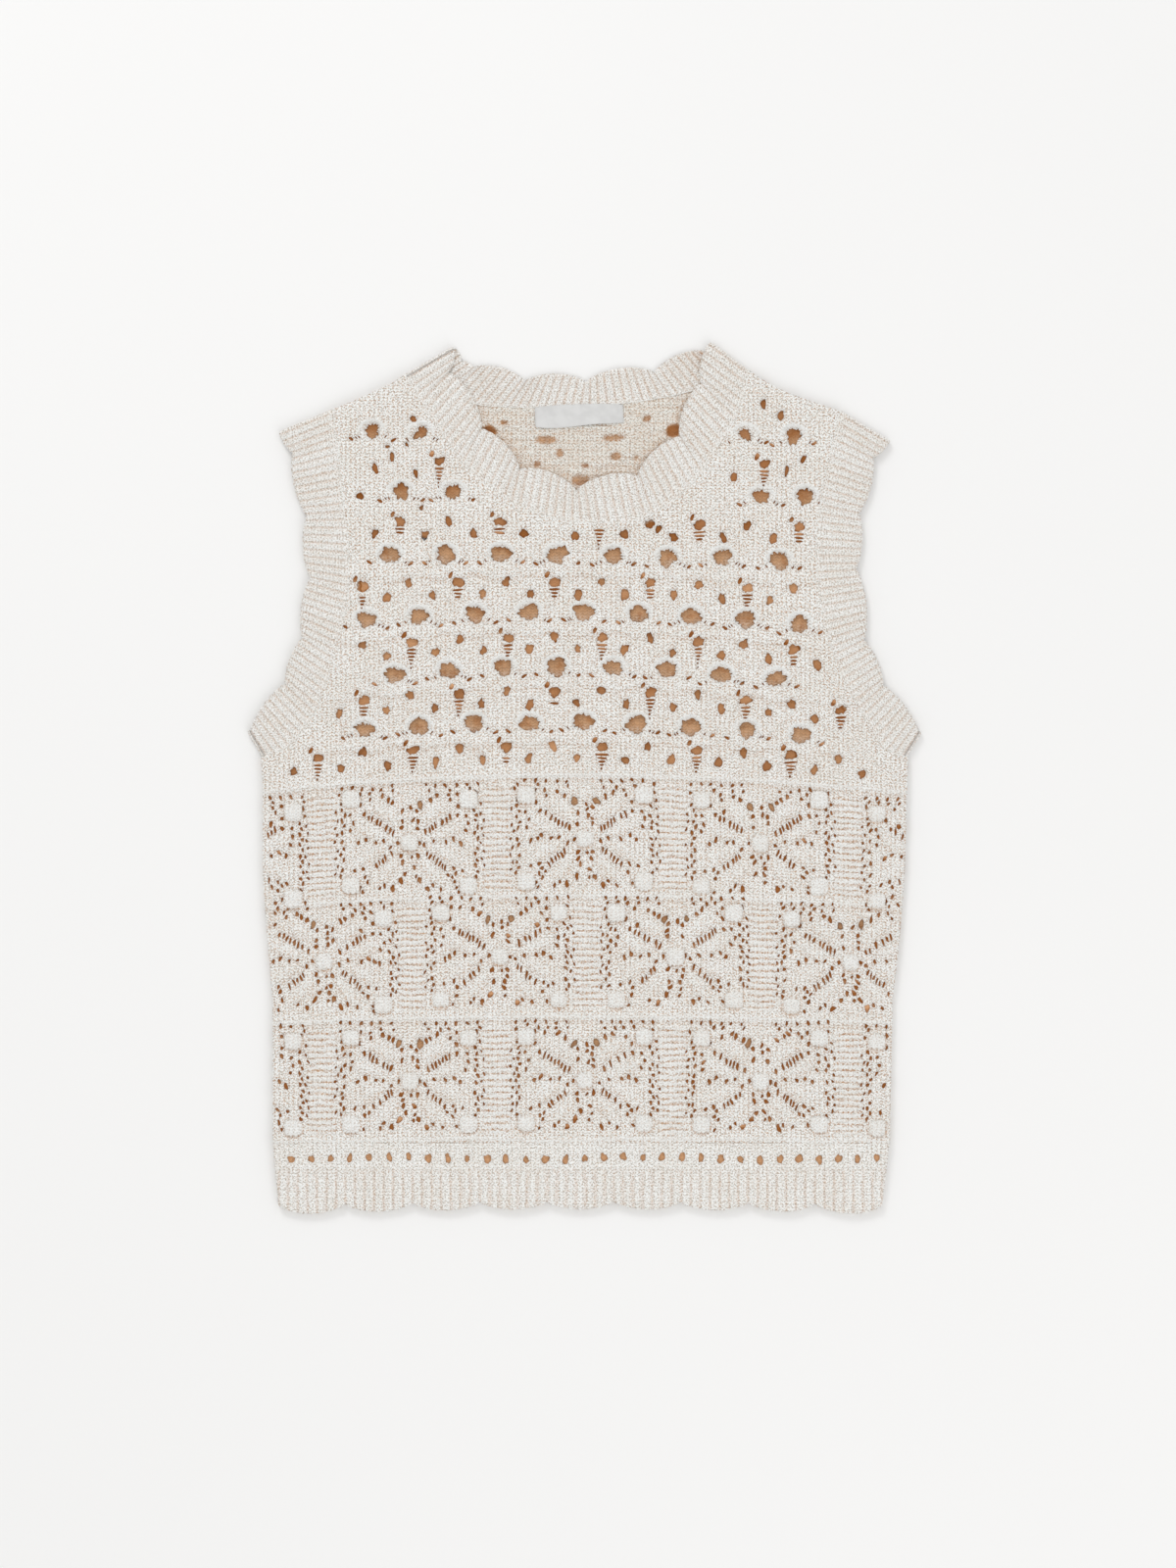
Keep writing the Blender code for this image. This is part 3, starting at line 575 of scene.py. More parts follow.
# ---------------------------------------------------------------- meshes
def hex_grid(low, high, spacing, jitter=0.18):
    """Evenly scattered points that fill a box."""
    ys = np.arange(low[1], high[1], spacing * math.sqrt(3) / 2)
    xs = np.arange(low[0], high[0], spacing)
    x, y = np.meshgrid(xs, ys)
    x[1::2] += spacing / 2
    points = np.stack([x.ravel(), y.ravel()], 1)
    return points + draw(-jitter, jitter, points.shape) * spacing


def fill_between(loops, points):
    """Triangles over the cloth inside the first loop and outside the others, as corner numbers."""
    corners = np.vstack([*loops, points])
    loop_of = np.full(len(corners), -1)
    edges, first = [], 0
    for number, loop in enumerate(loops):
        count = len(loop)
        edges += [(first + i, first + (i + 1) % count) for i in range(count)]
        loop_of[first:first + count] = number
        first += count
    _, _, faces, sources, _, _ = delaunay_2d_cdt([Vector(p) for p in corners], edges, [], 1, 1e-4)
    numbers = np.array([source[0] if source else -1 for source in sources])
    faces = numbers[np.array(faces)]
    faces = faces[(faces >= 0).all(1)]
    loop_numbers = loop_of[faces]
    same = (loop_numbers == loop_numbers[:, :1]).all(1) & (loop_numbers[:, 0] > 0)
    middles = corners[faces].mean(1)
    drop = np.zeros(len(faces), bool)
    for number in np.unique(loop_numbers[same, 0]):
        chosen = np.flatnonzero(same & (loop_numbers[:, 0] == number))
        drop[chosen] = inside(middles[chosen], loops[number])
    return corners, edges, faces[~drop]


def link(name, data):
    thing = bpy.data.objects.new(name, data)
    bpy.context.scene.collection.objects.link(thing)
    return thing


def new_piece(name, verts, faces, material, uv, shades):
    """A mesh object from points in millimetres, with its stitch coordinates and its share of shaded yarn."""
    mesh = bpy.data.meshes.new(name)
    mesh.from_pydata((np.asarray(verts) * MM).tolist(), [], [list(map(int, face)) for face in faces])
    corner_verts = np.empty(len(mesh.loops), int)
    mesh.loops.foreach_get("vertex_index", corner_verts)
    layer = mesh.uv_layers.new(name="stitches")
    layer.data.foreach_set("uv", np.asarray(uv, np.float32)[corner_verts].ravel())
    mesh.attributes.new("shaded", "FLOAT", "POINT").data.foreach_set("value", np.asarray(shades, np.float32))
    mesh.materials.append(material)
    mesh.shade_smooth()
    mesh.set_sharp_from_angle(angle=math.radians(70))
    mesh.update()
    return link(name, mesh)


def with_height(points, height):
    """The points with one more coordinate."""
    return np.column_stack([points, np.broadcast_to(height, len(points))])


def knit_sheet(name, openings, grid, spacing, surface, under, wall_shade, material):
    """A knitted wall with openings: a shaped upper face, rounded edges and a plain underside.

    The surface gives the heights and shades of points from their distances to openings and edge. The
    sunk openings only have an upper part, as deep as the yarn.
    """
    outline = openings.outline
    rings, sunk = ([ring if area_of(ring) < 0 else ring[::-1] for ring in openings.rings(is_sunk)]
                   for is_sunk in (False, True))
    through = [outline] + rings
    loops = through + sunk
    lips = [np.zeros((0, 2))]
    for ring in rings:
        middle = ring.mean(0)
        if np.ptp(ring[:, 0]) > LIP_OVER:
            arms = ring - middle
            far = norm(arms, axis=1, keepdims=True)
            lips += [middle + arms * (1 + LIP / far), middle + arms[::2] * (1 + SECOND_LIP * LIP / far[::2])]
    lips = np.vstack(lips)
    edge = np.vstack(loops)
    if len(lips):
        lips = lips[nearest(lips, edge) > LIP_CLEAR * LIP]
        lips = lips[inside(lips, outline)]
    grid = grid[inside(grid, outline)]
    for ring in rings + sunk:
        grid = grid[~inside(grid, ring)]
        lips = lips[~inside(lips, ring)]
    grid = grid[nearest(grid, np.vstack([edge, lips])) > GRID_CLEAR * spacing]
    corners, _, upper = fill_between(loops, np.vstack([lips, grid]))
    low_edge, through_edges, lower = fill_between(through, np.zeros((0, 2)))
    to_hole = nearest(corners, np.vstack(rings))
    if sunk:
        to_hole = np.minimum(to_hole, nearest(corners, np.vstack(sunk)) + SUNK_LIP)
    tops, shades = surface(corners, to_hole, nearest(corners, outline))
    low_shades = np.full(len(low_edge), wall_shade)
    low_shades[:len(outline)] = EDGE_SHADE
    verts = [with_height(corners, tops), with_height(low_edge, under)]
    tones = [shades, low_shades]
    first = len(corners)
    faces = upper.tolist() + (lower[:, ::-1] + first).tolist()
    faces += [(a, first + a, first + b, b) for a, b in through_edges]
    start, free = len(low_edge), len(corners) + len(low_edge)
    # Sunk openings get a floor painted brown as shade: deep brown, darker on its upper side, and warmer for wider
    # ones
    for ring in sunk:
        count, middle = len(ring), ring.mean(0)
        floor_z = max(float(tops[start:start + count].mean()) - SUNK_DEPTH, under + 0.1)
        tone = draw(1.4, 2.0) + 0.5 * (np.ptp(ring[:, 0]) > 3.2)
        verts += [with_height(middle + (ring - middle) * 0.9, floor_z), with_height(middle[None], floor_z - 0.05)]
        tones += [tone + 0.25 * np.sign(ring[:, 1] - middle[1]), [tone]]
        for i in range(count):
            j = (i + 1) % count
            faces += [(start + i, free + i, free + j, start + j), (free + j, free + i, free + count)]
        start, free = start + count, free + count + 1
    verts = np.vstack(verts)
    uv = np.column_stack([verts[:, 0], level_of(verts)])
    return new_piece(name, verts, faces, material, uv, np.concatenate(tones))


# ---------------------------------------------------------------- relief of the front
def relief(points):
    """Height of the front's cloth above its mean, without its edges, and the painted shade in its folds, with painted
    highlight on the welts' ridges.
    """
    waves = ((0.35, 26.0, 3), (0.22, 9.0, 4), (0.10, 3.0, 5))
    height = sum(rise * soft_noise(points, cell, seed) for rise, cell, seed in waves)
    shade = np.zeros(len(points))
    for welt in WELTS:
        off = level_of(points) - welt.y - welt.sway * soft_noise(points, 24.0, 6)
        height += welt.rise * bump(off, 1.8) - 0.45 * bump(off + 3.6, 1.5)
        shade += 0.14 * bump(off + 3.2, 1.2) - 0.2 * bump(off, 1.4)
    return height, shade


def yoke_relief(points, to_hole, larges):
    """Ridges below the rows of large openings, and a raised arch over each of these, with painted shade below the
    ridges and painted highlight on the ridges and arches.
    """
    height, shade = relief(points)
    x = points[:, 0]
    for row in LARGE_ROWS[:4]:
        phase = np.cos(TURN * (x - row.first_x) / row.pitch)
        off = level_of(points) - (row.y - 10.2 - 1.5 * phase + 0.8 * soft_noise(points, 14.0, 8))
        in_yoke = 1.0 / (1.0 + np.exp((np.abs(x) - 165.0) / 6.0))
        uneven = 0.75 + 0.45 * soft_noise(points, 7.0, 14)
        height += in_yoke * uneven * (1.25 * bump(off, 2.6) - 0.4 * bump(off + 5.0, 2.2))
        shade += in_yoke * np.clip(uneven, 0, 1) * (0.14 * bump(off + 3.4, 1.6) - 0.12 * bump(off, 1.8))
    for centre in larges:
        near, dx, dy = close_to(points, centre, 16)
        off = np.hypot(dx, dy * LARGE_GAP[0] / LARGE_GAP[1]) - LARGE_GAP[0] / 2
        up = dy / np.maximum(np.hypot(dx, dy), 0.1)
        arch = np.clip((up + 0.35) / 0.7, 0.0, 1.0)
        height[near] += arch * (1.25 * bump(off - 1.9, 1.45) - 0.30 * bump(off - 5.6, 1.8))
        shade[near] += arch * 0.06 * bump(off - 5.0, 1.3) - 0.3 * (0.25 + 0.75 * arch) * bump(off - 1.7, 1.5)
    return height + 0.5 * (1 - bump(to_hole, 2.6)), shade


def garter_columns():
    """Each garter column's row of squares, and its middle."""
    return [(row, row.first_x + (i - 0.5) * SQUARE_PITCH) for row in SQUARE_ROWS for i in range(row.count + 1)]


def garter_share(points):
    """How far each point is inside a garter column, from 0 to 1."""
    share, level = np.zeros(len(points)), level_of(points)
    for row, middle in garter_columns():
        across = np.clip((GARTER_WIDTH / 2 - np.abs(points[:, 0] - middle)) / 1.6, 0, 1)
        along = np.clip((row.height / 2 - 1.5 - np.abs(level - row.y)) / 1.6, 0, 1)
        share = np.maximum(share, across * along)
    return share


def garter_grid():
    """Rows of points on the ridges and valleys of the garter columns."""
    points, step = [], GARTER_PITCH / 4
    for row, middle in garter_columns():
        levels = np.arange(row.y - row.height / 2 + 2.0, row.y + row.height / 2 - 2.0, step)
        xs = np.arange(middle - GARTER_WIDTH / 2 + 0.8, middle + GARTER_WIDTH / 2 - 0.4, 2.1)
        points += [bowed(x, level) for x, level in product(xs, np.round(levels / step) * step)]
    return np.array(points)


def squares_relief(points, to_hole):
    """Ridges in the garter columns, leaves in the squares, painted shade and highlight on ridges, valleys and leaves,
    and painted shade around the bobbles, darker below them.
    """
    height, shade = relief(points)
    share = garter_share(points)
    ridges = wave((level_of(points) + 0.8 * soft_noise(points, 6.0, 9)) / GARTER_PITCH)
    height += share * (0.25 + 0.75 * ridges) + (1 - share) * 0.55 * (1 - bump(to_hole, 2.4))
    for centre, side, leaf in product(square_places(), (-1, 1), LEAVES):
        near, dx, dy = close_to(points, centre + [-side * leaf.x, leaf.y], 0.6 * leaf.width)
        c, s = cos_sin(leaf.tilt)
        along = (dy * s - side * dx * c) / (leaf.width / 2)
        across = (dy * c + side * dx * s) / (leaf.height / 2)
        body = np.clip(1 - along**2 - across**2, 0, 1)
        height[near] += 0.75 * body**0.7
        # Painted highlight on the leaves' upper part and painted shade along their lower edges
        shade[near] -= 0.16 * body * np.clip(0.6 + across, 0, 1) - 0.10 * bump(across + 0.75, 0.35) * (body > 0)
    # Garter: painted shade in patches between the ridges, painted highlight on the ridges
    dotted_shade = 0.75 + 0.6 * soft_noise(points, 1.7, 15)
    shade += share * (0.62 * dotted_shade * (1 - ridges) ** 3 - 0.28 * ridges)
    # Painted shadow round each bobble, darker below it
    for place in bobble_places():
        near, dx, dy = close_to(points, place, 9)
        off = np.hypot(dx, dy) - BOBBLE_RADIUS - 1.1
        shade[near] += 0.42 * np.clip(0.5 - 0.08 * dy, 0.2, 1.0) * bump(off, 0.8)
    return height, shade


# ---------------------------------------------------------------- materials
class Nodes:
    """Short names for the nodes of one material."""

    def __init__(self, name):
        self.material = bpy.data.materials.new(name)
        self.material.use_nodes = True
        self.tree = self.material.node_tree

    @cached_property
    def uv(self):
        return self.add("ShaderNodeUVMap", {}, uv_map="stitches").outputs[0]

    @cached_property
    def shaded(self):
        return self.add("ShaderNodeAttribute", {}, attribute_name="shaded").outputs["Fac"]

    def put(self, node, inputs):
        """Link or set a node's inputs, by their names or numbers."""
        for name, value in inputs.items():
            if hasattr(value, "is_output"):
                self.tree.links.new(value, node.inputs[name])
            else:
                node.inputs[name].default_value = value

    def add(self, kind, inputs, **settings):
        node = self.tree.nodes.new(kind)
        for key, value in settings.items():
            setattr(node, key, value)
        self.put(node, inputs)
        return node

    def maths(self, operation, *values):
        return self.add("ShaderNodeMath", dict(enumerate(values)), operation=operation).outputs[0]

    plus = partialmethod(maths, "ADD")
    minus = partialmethod(maths, "SUBTRACT")
    times = partialmethod(maths, "MULTIPLY")

    def mix(self, share, *colours):
        first, second = (colour if hasattr(colour, "is_output") else (*colour, 1.0) for colour in colours)
        return self.add("ShaderNodeMix", {0: share, 6: first, 7: second}, data_type="RGBA").outputs[2]

    def noise(self, scale, detail=2.0, rough=0.5, vector=None, output="Fac"):
        inputs = {"Vector": vector or self.uv, "Scale": scale, "Detail": detail, "Roughness": rough}
        return self.add("ShaderNodeTexNoise", inputs, noise_dimensions="2D").outputs[output]

    def smoothstep(self, value, low, high):
        inputs = {"Value": value, "From Min": low, "From Max": high}
        return self.add("ShaderNodeMapRange", inputs, interpolation_type="SMOOTHSTEP").outputs["Result"]

    def parts_of(self, vector):
        return self.add("ShaderNodeSeparateXYZ", {0: vector}).outputs

    def finish(self, colour, roughness, height=None, strength=1.0, relief_mm=0.0, sheen=0.0, **sockets):
        """Give the shader its colour, relief and plain values."""
        shader = self.tree.nodes["Principled BSDF"]
        if height is not None:
            inputs = {"Strength": strength, "Distance": relief_mm * MM, "Height": height}
            self.put(shader, {"Normal": self.add("ShaderNodeBump", inputs).outputs[0], "Sheen Weight": sheen})
        self.put(shader, {"Base Color": colour, "Roughness": roughness, **sockets})
        return self.material


def tint(colour, *factors):
    """The colour times one factor, or times one for each channel."""
    return tuple(c * f for c, f in zip(colour, factors if len(factors) > 1 else factors * 3))


def knit_material(name, colour, pinhole_shade=0.5, relief_mm=0.55):
    """Slubbed cotton knitting: leaning stitches, fuzzy yarn, pinholes between the stitches, with painted shade and
    highlight.
    """
    n = Nodes(name)
    shift = {0: n.noise(0.42, 1.0, output="Color"), 1: (1.7, 1.7, 0.0), 2: n.uv}
    x, y, _ = n.parts_of(n.add("ShaderNodeVectorMath", shift, operation="MULTIPLY_ADD").outputs[0])
    lean = n.maths("ABSOLUTE", n.minus(n.times(n.maths("FRACT", n.maths("DIVIDE", x, WALE)), 2.0), 1.0))
    phase = n.maths("FRACT", n.minus(n.maths("DIVIDE", y, ROW), n.times(lean, 0.6)))
    leg = n.maths("SINE", n.times(phase, math.pi))
    groove = n.minus(1.0, n.times(n.maths("POWER", lean, 5.0), 0.7))
    height = n.plus(n.times(n.times(leg, groove), 0.55), n.times(n.noise(1.15, 2.0, 0.6), 0.75))

    # Pinholes between the stitches and stray specks: brown dots of painted shade, as if looking into the shade behind
    # the knit
    corner = n.times(n.smoothstep(lean, 0.35, 0.85), n.smoothstep(leg, 0.85, 0.25))
    pin = n.times(corner, n.smoothstep(n.noise(0.62, 2.0, 0.55), 0.38, 0.52))
    stray = n.times(n.smoothstep(n.noise(0.95, 1.0), 0.60, 0.69), 0.9)
    # Where shaded is below zero: painted highlight, which lifts the painted shade of pinholes and valleys and evens
    # the yarn's colour
    painted_highlight = n.smoothstep(n.shaded, 0.0, -0.35)
    pinhole = n.times(n.times(n.maths("MAXIMUM", pin, stray), pinhole_shade), n.minus(1.0, painted_highlight))

    bright = n.mix(n.smoothstep(n.noise(0.05), 0.35, 0.65), colour, tint(colour, 0.97, 0.96, 0.945))
    loops = n.smoothstep(n.noise(0.9, 2.0, 0.7), 0.42, 0.58)
    grain = n.times(n.minus(n.noise(1.9, 1.0), 0.5), 0.5)
    # Valleys: darker where the bump is low and where the loops' noise is low, painted shade in the stitches' hollows
    # mixed with the yarn's uneven tone
    tone = n.plus(n.plus(n.times(height, 0.5), n.times(loops, 0.5)), grain)
    valley = n.times(n.smoothstep(tone, 0.58, 0.25), n.minus(1.0, n.times(painted_highlight, 0.6)))
    yarn = n.mix(valley, bright, tint(colour, 0.55, 0.515, 0.47))
    yarn = n.mix(n.times(painted_highlight, 0.5), yarn, tint(colour, 0.87))

    # The colour of painted shade: brown, brighter where the bump is high, with darker patches, deep brown where
    # shaded runs from 1 to 1.9 and warm brown from 2 to 2.7; its share is the shaded attribute plus the pinholes
    depth = n.mix(n.smoothstep(height, 0.3, 0.9), tint(SHADED_YARN, 0.78), tint(SHADED_YARN, 1.15))
    depth = n.mix(n.times(n.smoothstep(n.noise(0.2), 0.3, 0.7), 0.45), depth, tint(SHADED_YARN, 1.45))
    depth = n.mix(n.times(n.smoothstep(n.noise(0.16), 0.5, 0.75), 0.5), depth, DEEP_SHADE_YARN)
    depth = n.mix(n.smoothstep(n.shaded, 1.0, 1.9), depth, DEEP_SHADE_YARN)
    depth = n.mix(n.smoothstep(n.shaded, 2.0, 2.7), depth, WARM_SHADE_YARN)
    share = n.maths("MINIMUM", n.plus(n.maths("MAXIMUM", n.shaded, 0.0), pinhole), 1.0)
    return n.finish(n.mix(share, yarn, depth), 0.92, height, 0.85, relief_mm, 0.12,
                    **{"Specular IOR Level": 0.25, "Sheen Roughness": 0.5})


def label_material():
    """Fine satin weave."""
    n = Nodes("label_weave")
    x, y, _ = n.parts_of(n.uv)
    weft, warp = (n.maths("SINE", n.times(way, TURN / pitch)) for way, pitch in ((y, 0.5), (x, 0.4)))
    colour = n.mix(n.smoothstep(n.noise(0.12), 0.3, 0.7), (0.63, 0.63, 0.625), (0.70, 0.70, 0.695))
    threads = n.plus(n.times(weft, 0.6), n.times(warp, 0.4))
    # The shaded attribute paints shade on the label
    return n.finish(n.mix(n.shaded, colour, (0.42, 0.41, 0.39)), 0.55, threads, 0.35, 0.1, 0.2)


def floor_material():
    n = Nodes("pale_floor")
    where = n.add("ShaderNodeTexCoord", {}).outputs["Object"]
    return n.finish(n.mix(n.noise(3.0, vector=where), (0.895, 0.895, 0.893), (0.905, 0.905, 0.903)), 0.8)


# ---------------------------------------------------------------- front and back
def declare(piece, node, slot, flat, area, rests_on=(), with_pieces=()):
    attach(piece, "root")
    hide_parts(node)


def declare_sheet(piece, node, slot, openings, *more):
    """Attach a sheet to the root and hide its part of the solids."""
    area = abs(area_of(openings.outline)) - sum(abs(area_of(ring)) for ring in openings.rings())
    declare(piece, node, slot, np.ptp(openings.outline, axis=0), area, *more)


def seam_free(points, to_edge):
    """The distance to the cloth's edge, where the seams at the welt and the hem are no edge."""
    to_welt, to_hem = np.abs(level_of(points) - WELTS[0].y), np.abs(points[:, 1] - HEM_SEAM_Y)
    to_side = np.minimum(*(np.abs(points[:, 0] - side_x(-13.0, left)) for left in (True, False)))
    return np.where(np.minimum(to_welt, to_hem) < SEAM_REACH, to_side, to_edge)


def front_sheet(name, openings, grid, spacing, relief_of, material):
    def surface(points, to_hole, to_edge):
        height, shade = relief_of(points, to_hole)
        edge = 0.9 * bump(seam_free(points, to_edge), 0.9)
        return FRONT_TOP + height - edge - 1.35 * bump(to_hole, 0.85), shade - HOLE_LIGHT * bump(to_hole, 0.9)

    return knit_sheet(name, openings, grid, spacing, surface, FRONT_UNDER, 0.6, material)


def box_grid(outline, spacing):
    return hex_grid(outline.min(0), outline.max(0), spacing)


def make_front(yoke_holes, square_holes, material):
    larges = yoke_holes.middles("large")
    yoke = front_sheet("front_yoke_knit", yoke_holes, box_grid(yoke_holes.outline, FINE), FINE,
                       lambda points, to_hole: yoke_relief(points, to_hole, larges), material)
    declare_sheet(yoke, "front_panel", "knit_front", yoke_holes, ["back_knit"])

    grid = box_grid(square_holes.outline, FINE + 0.05)
    grid = np.vstack([grid[garter_share(grid) < 0.5], garter_grid()])
    squares = front_sheet("front_squares_knit", square_holes, grid, 0.9, squares_relief, material)
    bobbles = make_bobbles(square_holes.outline, material)
    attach(bobbles, "root")
    declare_sheet(squares, "front_panel", "knit_front", square_holes, ["back_knit"], [bobbles])


def make_bobbles(outline, material):
    """Rounded bobbles that stand on the squares."""
    verts, faces, shades = [], [], []
    segments, rings = 18, 7
    for place in bobble_places():
        if not inside(place[None], outline)[0] or norm(outline - place, axis=1).min() < 5.0:
            continue
        first = len(verts)
        radius, rise = 1.1 * BOBBLE_RADIUS * draw(0.93, 1.07), 2.9 * draw(0.9, 1.1)
        squash, lobe = draw(0.9, 1.02), draw(0, 6)
        verts.append((*place, FRONT_TOP + rise))
        # Painted highlight on the bobble's top, and painted shade round its base that is darker on its lower side
        shades.append(-0.20)
        for ring, i in product(range(1, rings + 1), range(segments)):
            lift = math.pi / 2 * ring / rings * 1.12
            turn = TURN * i / segments
            c, s = math.cos(turn), math.sin(turn)
            corner = (abs(c) ** BOBBLE_SQUARENESS + abs(s) ** BOBBLE_SQUARENESS) ** (-1 / BOBBLE_SQUARENESS)
            reach = radius * corner * math.sin(min(lift, math.pi / 2)) ** 0.85
            reach *= 1 + 0.03 * math.sin(3 * turn + lobe)
            z = -0.4
            if math.cos(lift) > 0:
                z = rise * math.cos(lift) ** (1.0 if lift > 1.5 else 0.9)
            else:
                reach *= 0.94
            verts.append((place[0] + reach * c, place[1] + reach * s * squash, FRONT_TOP + z))
            shades.append(-0.20 + (0.50 + 0.38 * max(0.0, -s)) * (ring / rings) ** 5)
        around = [(i, (i + 1) % segments) for i in range(segments)]
        faces += [(first, first + 1 + i, first + 1 + j) for i, j in around]
        for row, (i, j) in product(range(first + 1, len(verts) - segments, segments), around):
            faces.append((row + i, row + segments + i, row + segments + j, row + j))
        faces.append(range(len(verts) - 1, len(verts) - 1 - segments, -1))
    verts = np.array(verts)
    return new_piece("front_bobbles", verts, faces, material, verts[:, :2], shades)


def make_back(front_holes, material):
    outline = back_outline()
    neck = closed([smooth_line(FRONT_NECK_SEAM), smooth_line(BACK_NECK_SEAM)[::-1]], COARSE)
    free_edge = scalloped(FRONT_NECK_NOTCHES, NECK_SCALLOP_RISE)
    larges, narrow = front_holes.middles("large"), front_holes.middles("small", "ladder")
    openings = Openings(outline)
    for row in BACK_LARGE_ROWS:
        for i in range(row.count):
            place = bowed(row.first_x + i * row.pitch, row.y)
            if inside(place[None], neck)[0] or norm(neck - place, axis=1).min() < 12:
                continue
            for shift in BACK_SHIFTS:
                ring = ragged(*(place + shift), *(side + 2 for side in BACK_LARGE_GAP), 12, 0.0)
                if front_holes.room_for(ring, 0.3):
                    openings.add("large", *(place + shift), *BACK_LARGE_GAP, 12, 0.04, margin=2.0, clear=2.0)
                    break
    grid = box_grid(outline, 2.6)
    low, high = neck.min(0) - 4, neck.max(0) + 4
    in_box = ((grid > low) & (grid < high)).all(1)
    grid = np.vstack([grid[~in_box], hex_grid(low, high, FINE)])

    def in_holes(points):
        """How deep each point lies in one of the openings of the neck, from 0 to 1, and how near to its rim."""
        depth, rim = np.zeros(len(points)), np.zeros(len(points))
        for hole in BACK_NECK_HOLES:
            c, s = cos_sin(hole.tilt)
            dx, dy = points[:, 0] - hole.x, points[:, 1] - hole.y
            across, up = (dx * c + dy * s) / (hole.width / 2), (dy * c - dx * s) / (hole.height / 2)
            off = np.hypot(across, up) - 1 + 0.12 * soft_noise(points, 1.8, 12)
            off = off * min(hole.width, hole.height) / 2
            depth = np.maximum(depth, np.clip(0.5 - off / 0.9, 0, 1))
            rim = np.maximum(rim, bump(off - 1.6, 1.2))
        return depth, rim

    def surface(points, to_hole, to_edge):
        is_in = inside(points, neck)
        level = level_of(points)
        ripple = np.sin(TURN * (level + 1.6 * soft_noise(points, 8.0, 24)) / 5.2) * is_in
        depth, rim = in_holes(points)
        height = 0.25 * soft_noise(points, 18.0, 21) + 0.12 * soft_noise(points, 4.0, 22) + 0.22 * ripple
        height += sum(0.35 * bump(level - y, 2.0) for y in (216.0, 201.0, 187.0))
        height = np.where(is_in, height, np.minimum(height, 0.25))
        height += 0.5 * rim - 1.5 * depth - 0.5 * bump(to_hole, 0.8) - 0.6 * bump(to_edge, 1.0)

        # Painted shade: the back's face under the front is painted brown as the shade between the layers, the neck's
        # inside a little darker with painted shade and highlight along its ripples, and a painted shadow by the front
        # band's free edge
        covered = ~is_in * np.clip((nearest(points, neck) - 1.0) / 5.0, 0, 1) * np.clip((to_edge - 3.0) / 6.0, 0, 1)
        band_shadow = 0.20 * bump(nearest(points, free_edge), 4.5) * is_in
        shades = np.clip(0.05 + 0.06 * is_in - 0.08 * ripple + 0.95 * covered + band_shadow, 0, 1)
        # The sunk openings of the neck get a painted dark floor as shade, darker at the sides
        shades = np.maximum(shades, depth * np.where(np.abs(points[:, 0]) > 50, 1.6, 0.85))
        # Painted shade below large openings, darker towards their upper side and above LARGE_GAP_SHRINK_Y
        for centre in larges:
            near, _, dy = close_to(points, centre, 9)
            up = dy + 2.0 * soft_noise(points[near], 3.5, 25)
            shades[near] += 0.055 * up + 0.4 * (centre[1] > LARGE_GAP_SHRINK_Y)
        # Below narrow openings the covered face is painted warm brown as shade, a little darker above SHOULDER_Y
        warm_shade_tone = WARM_SHADE * (0.77 + 0.06 * soft_noise(points, 20.0, 23)) - 0.12 * (points[:, 1] > SHOULDER_Y)
        return BACK_TOP + height, np.where((covered > 0.9) & (nearest(points, narrow) < 5.0), warm_shade_tone, shades)

    back = knit_sheet("back_knit", openings, grid, 1.0, surface, 0.0, 0.25, material)
    declare_sheet(back, "back_panel", "knit_back", openings)


# ---------------------------------------------------------------- bands
def rib_tone(rib):
    """The shade of a rib's side, from its valley at 0 to its crest at 1."""
    return 0.26 * (1 - rib) ** 3.0 - 0.10 * rib


def hem_edge(steps=24):
    """The scalloped edge from left to right, finely."""
    share = np.linspace(0, 1, HEM_SCALLOPS * steps + 1)
    x = HEM_LEFT + (HEM_RIGHT - HEM_LEFT) * share
    lobe = np.abs(np.sin(np.pi * share * HEM_SCALLOPS)) ** 0.7
    arch = 1.0 - (x / HEM_LEFT) ** 2
    drop = HEM_SCALLOP_DROP + (HEM_MIDDLE_DROP - HEM_SCALLOP_DROP) * arch
    rib = np.cos(TURN * (share * HEM_RIBS - 0.5))
    return np.stack([x, HEM_NOTCH_Y + HEM_ARCH * arch - drop * lobe - 0.3 * rib], 1)


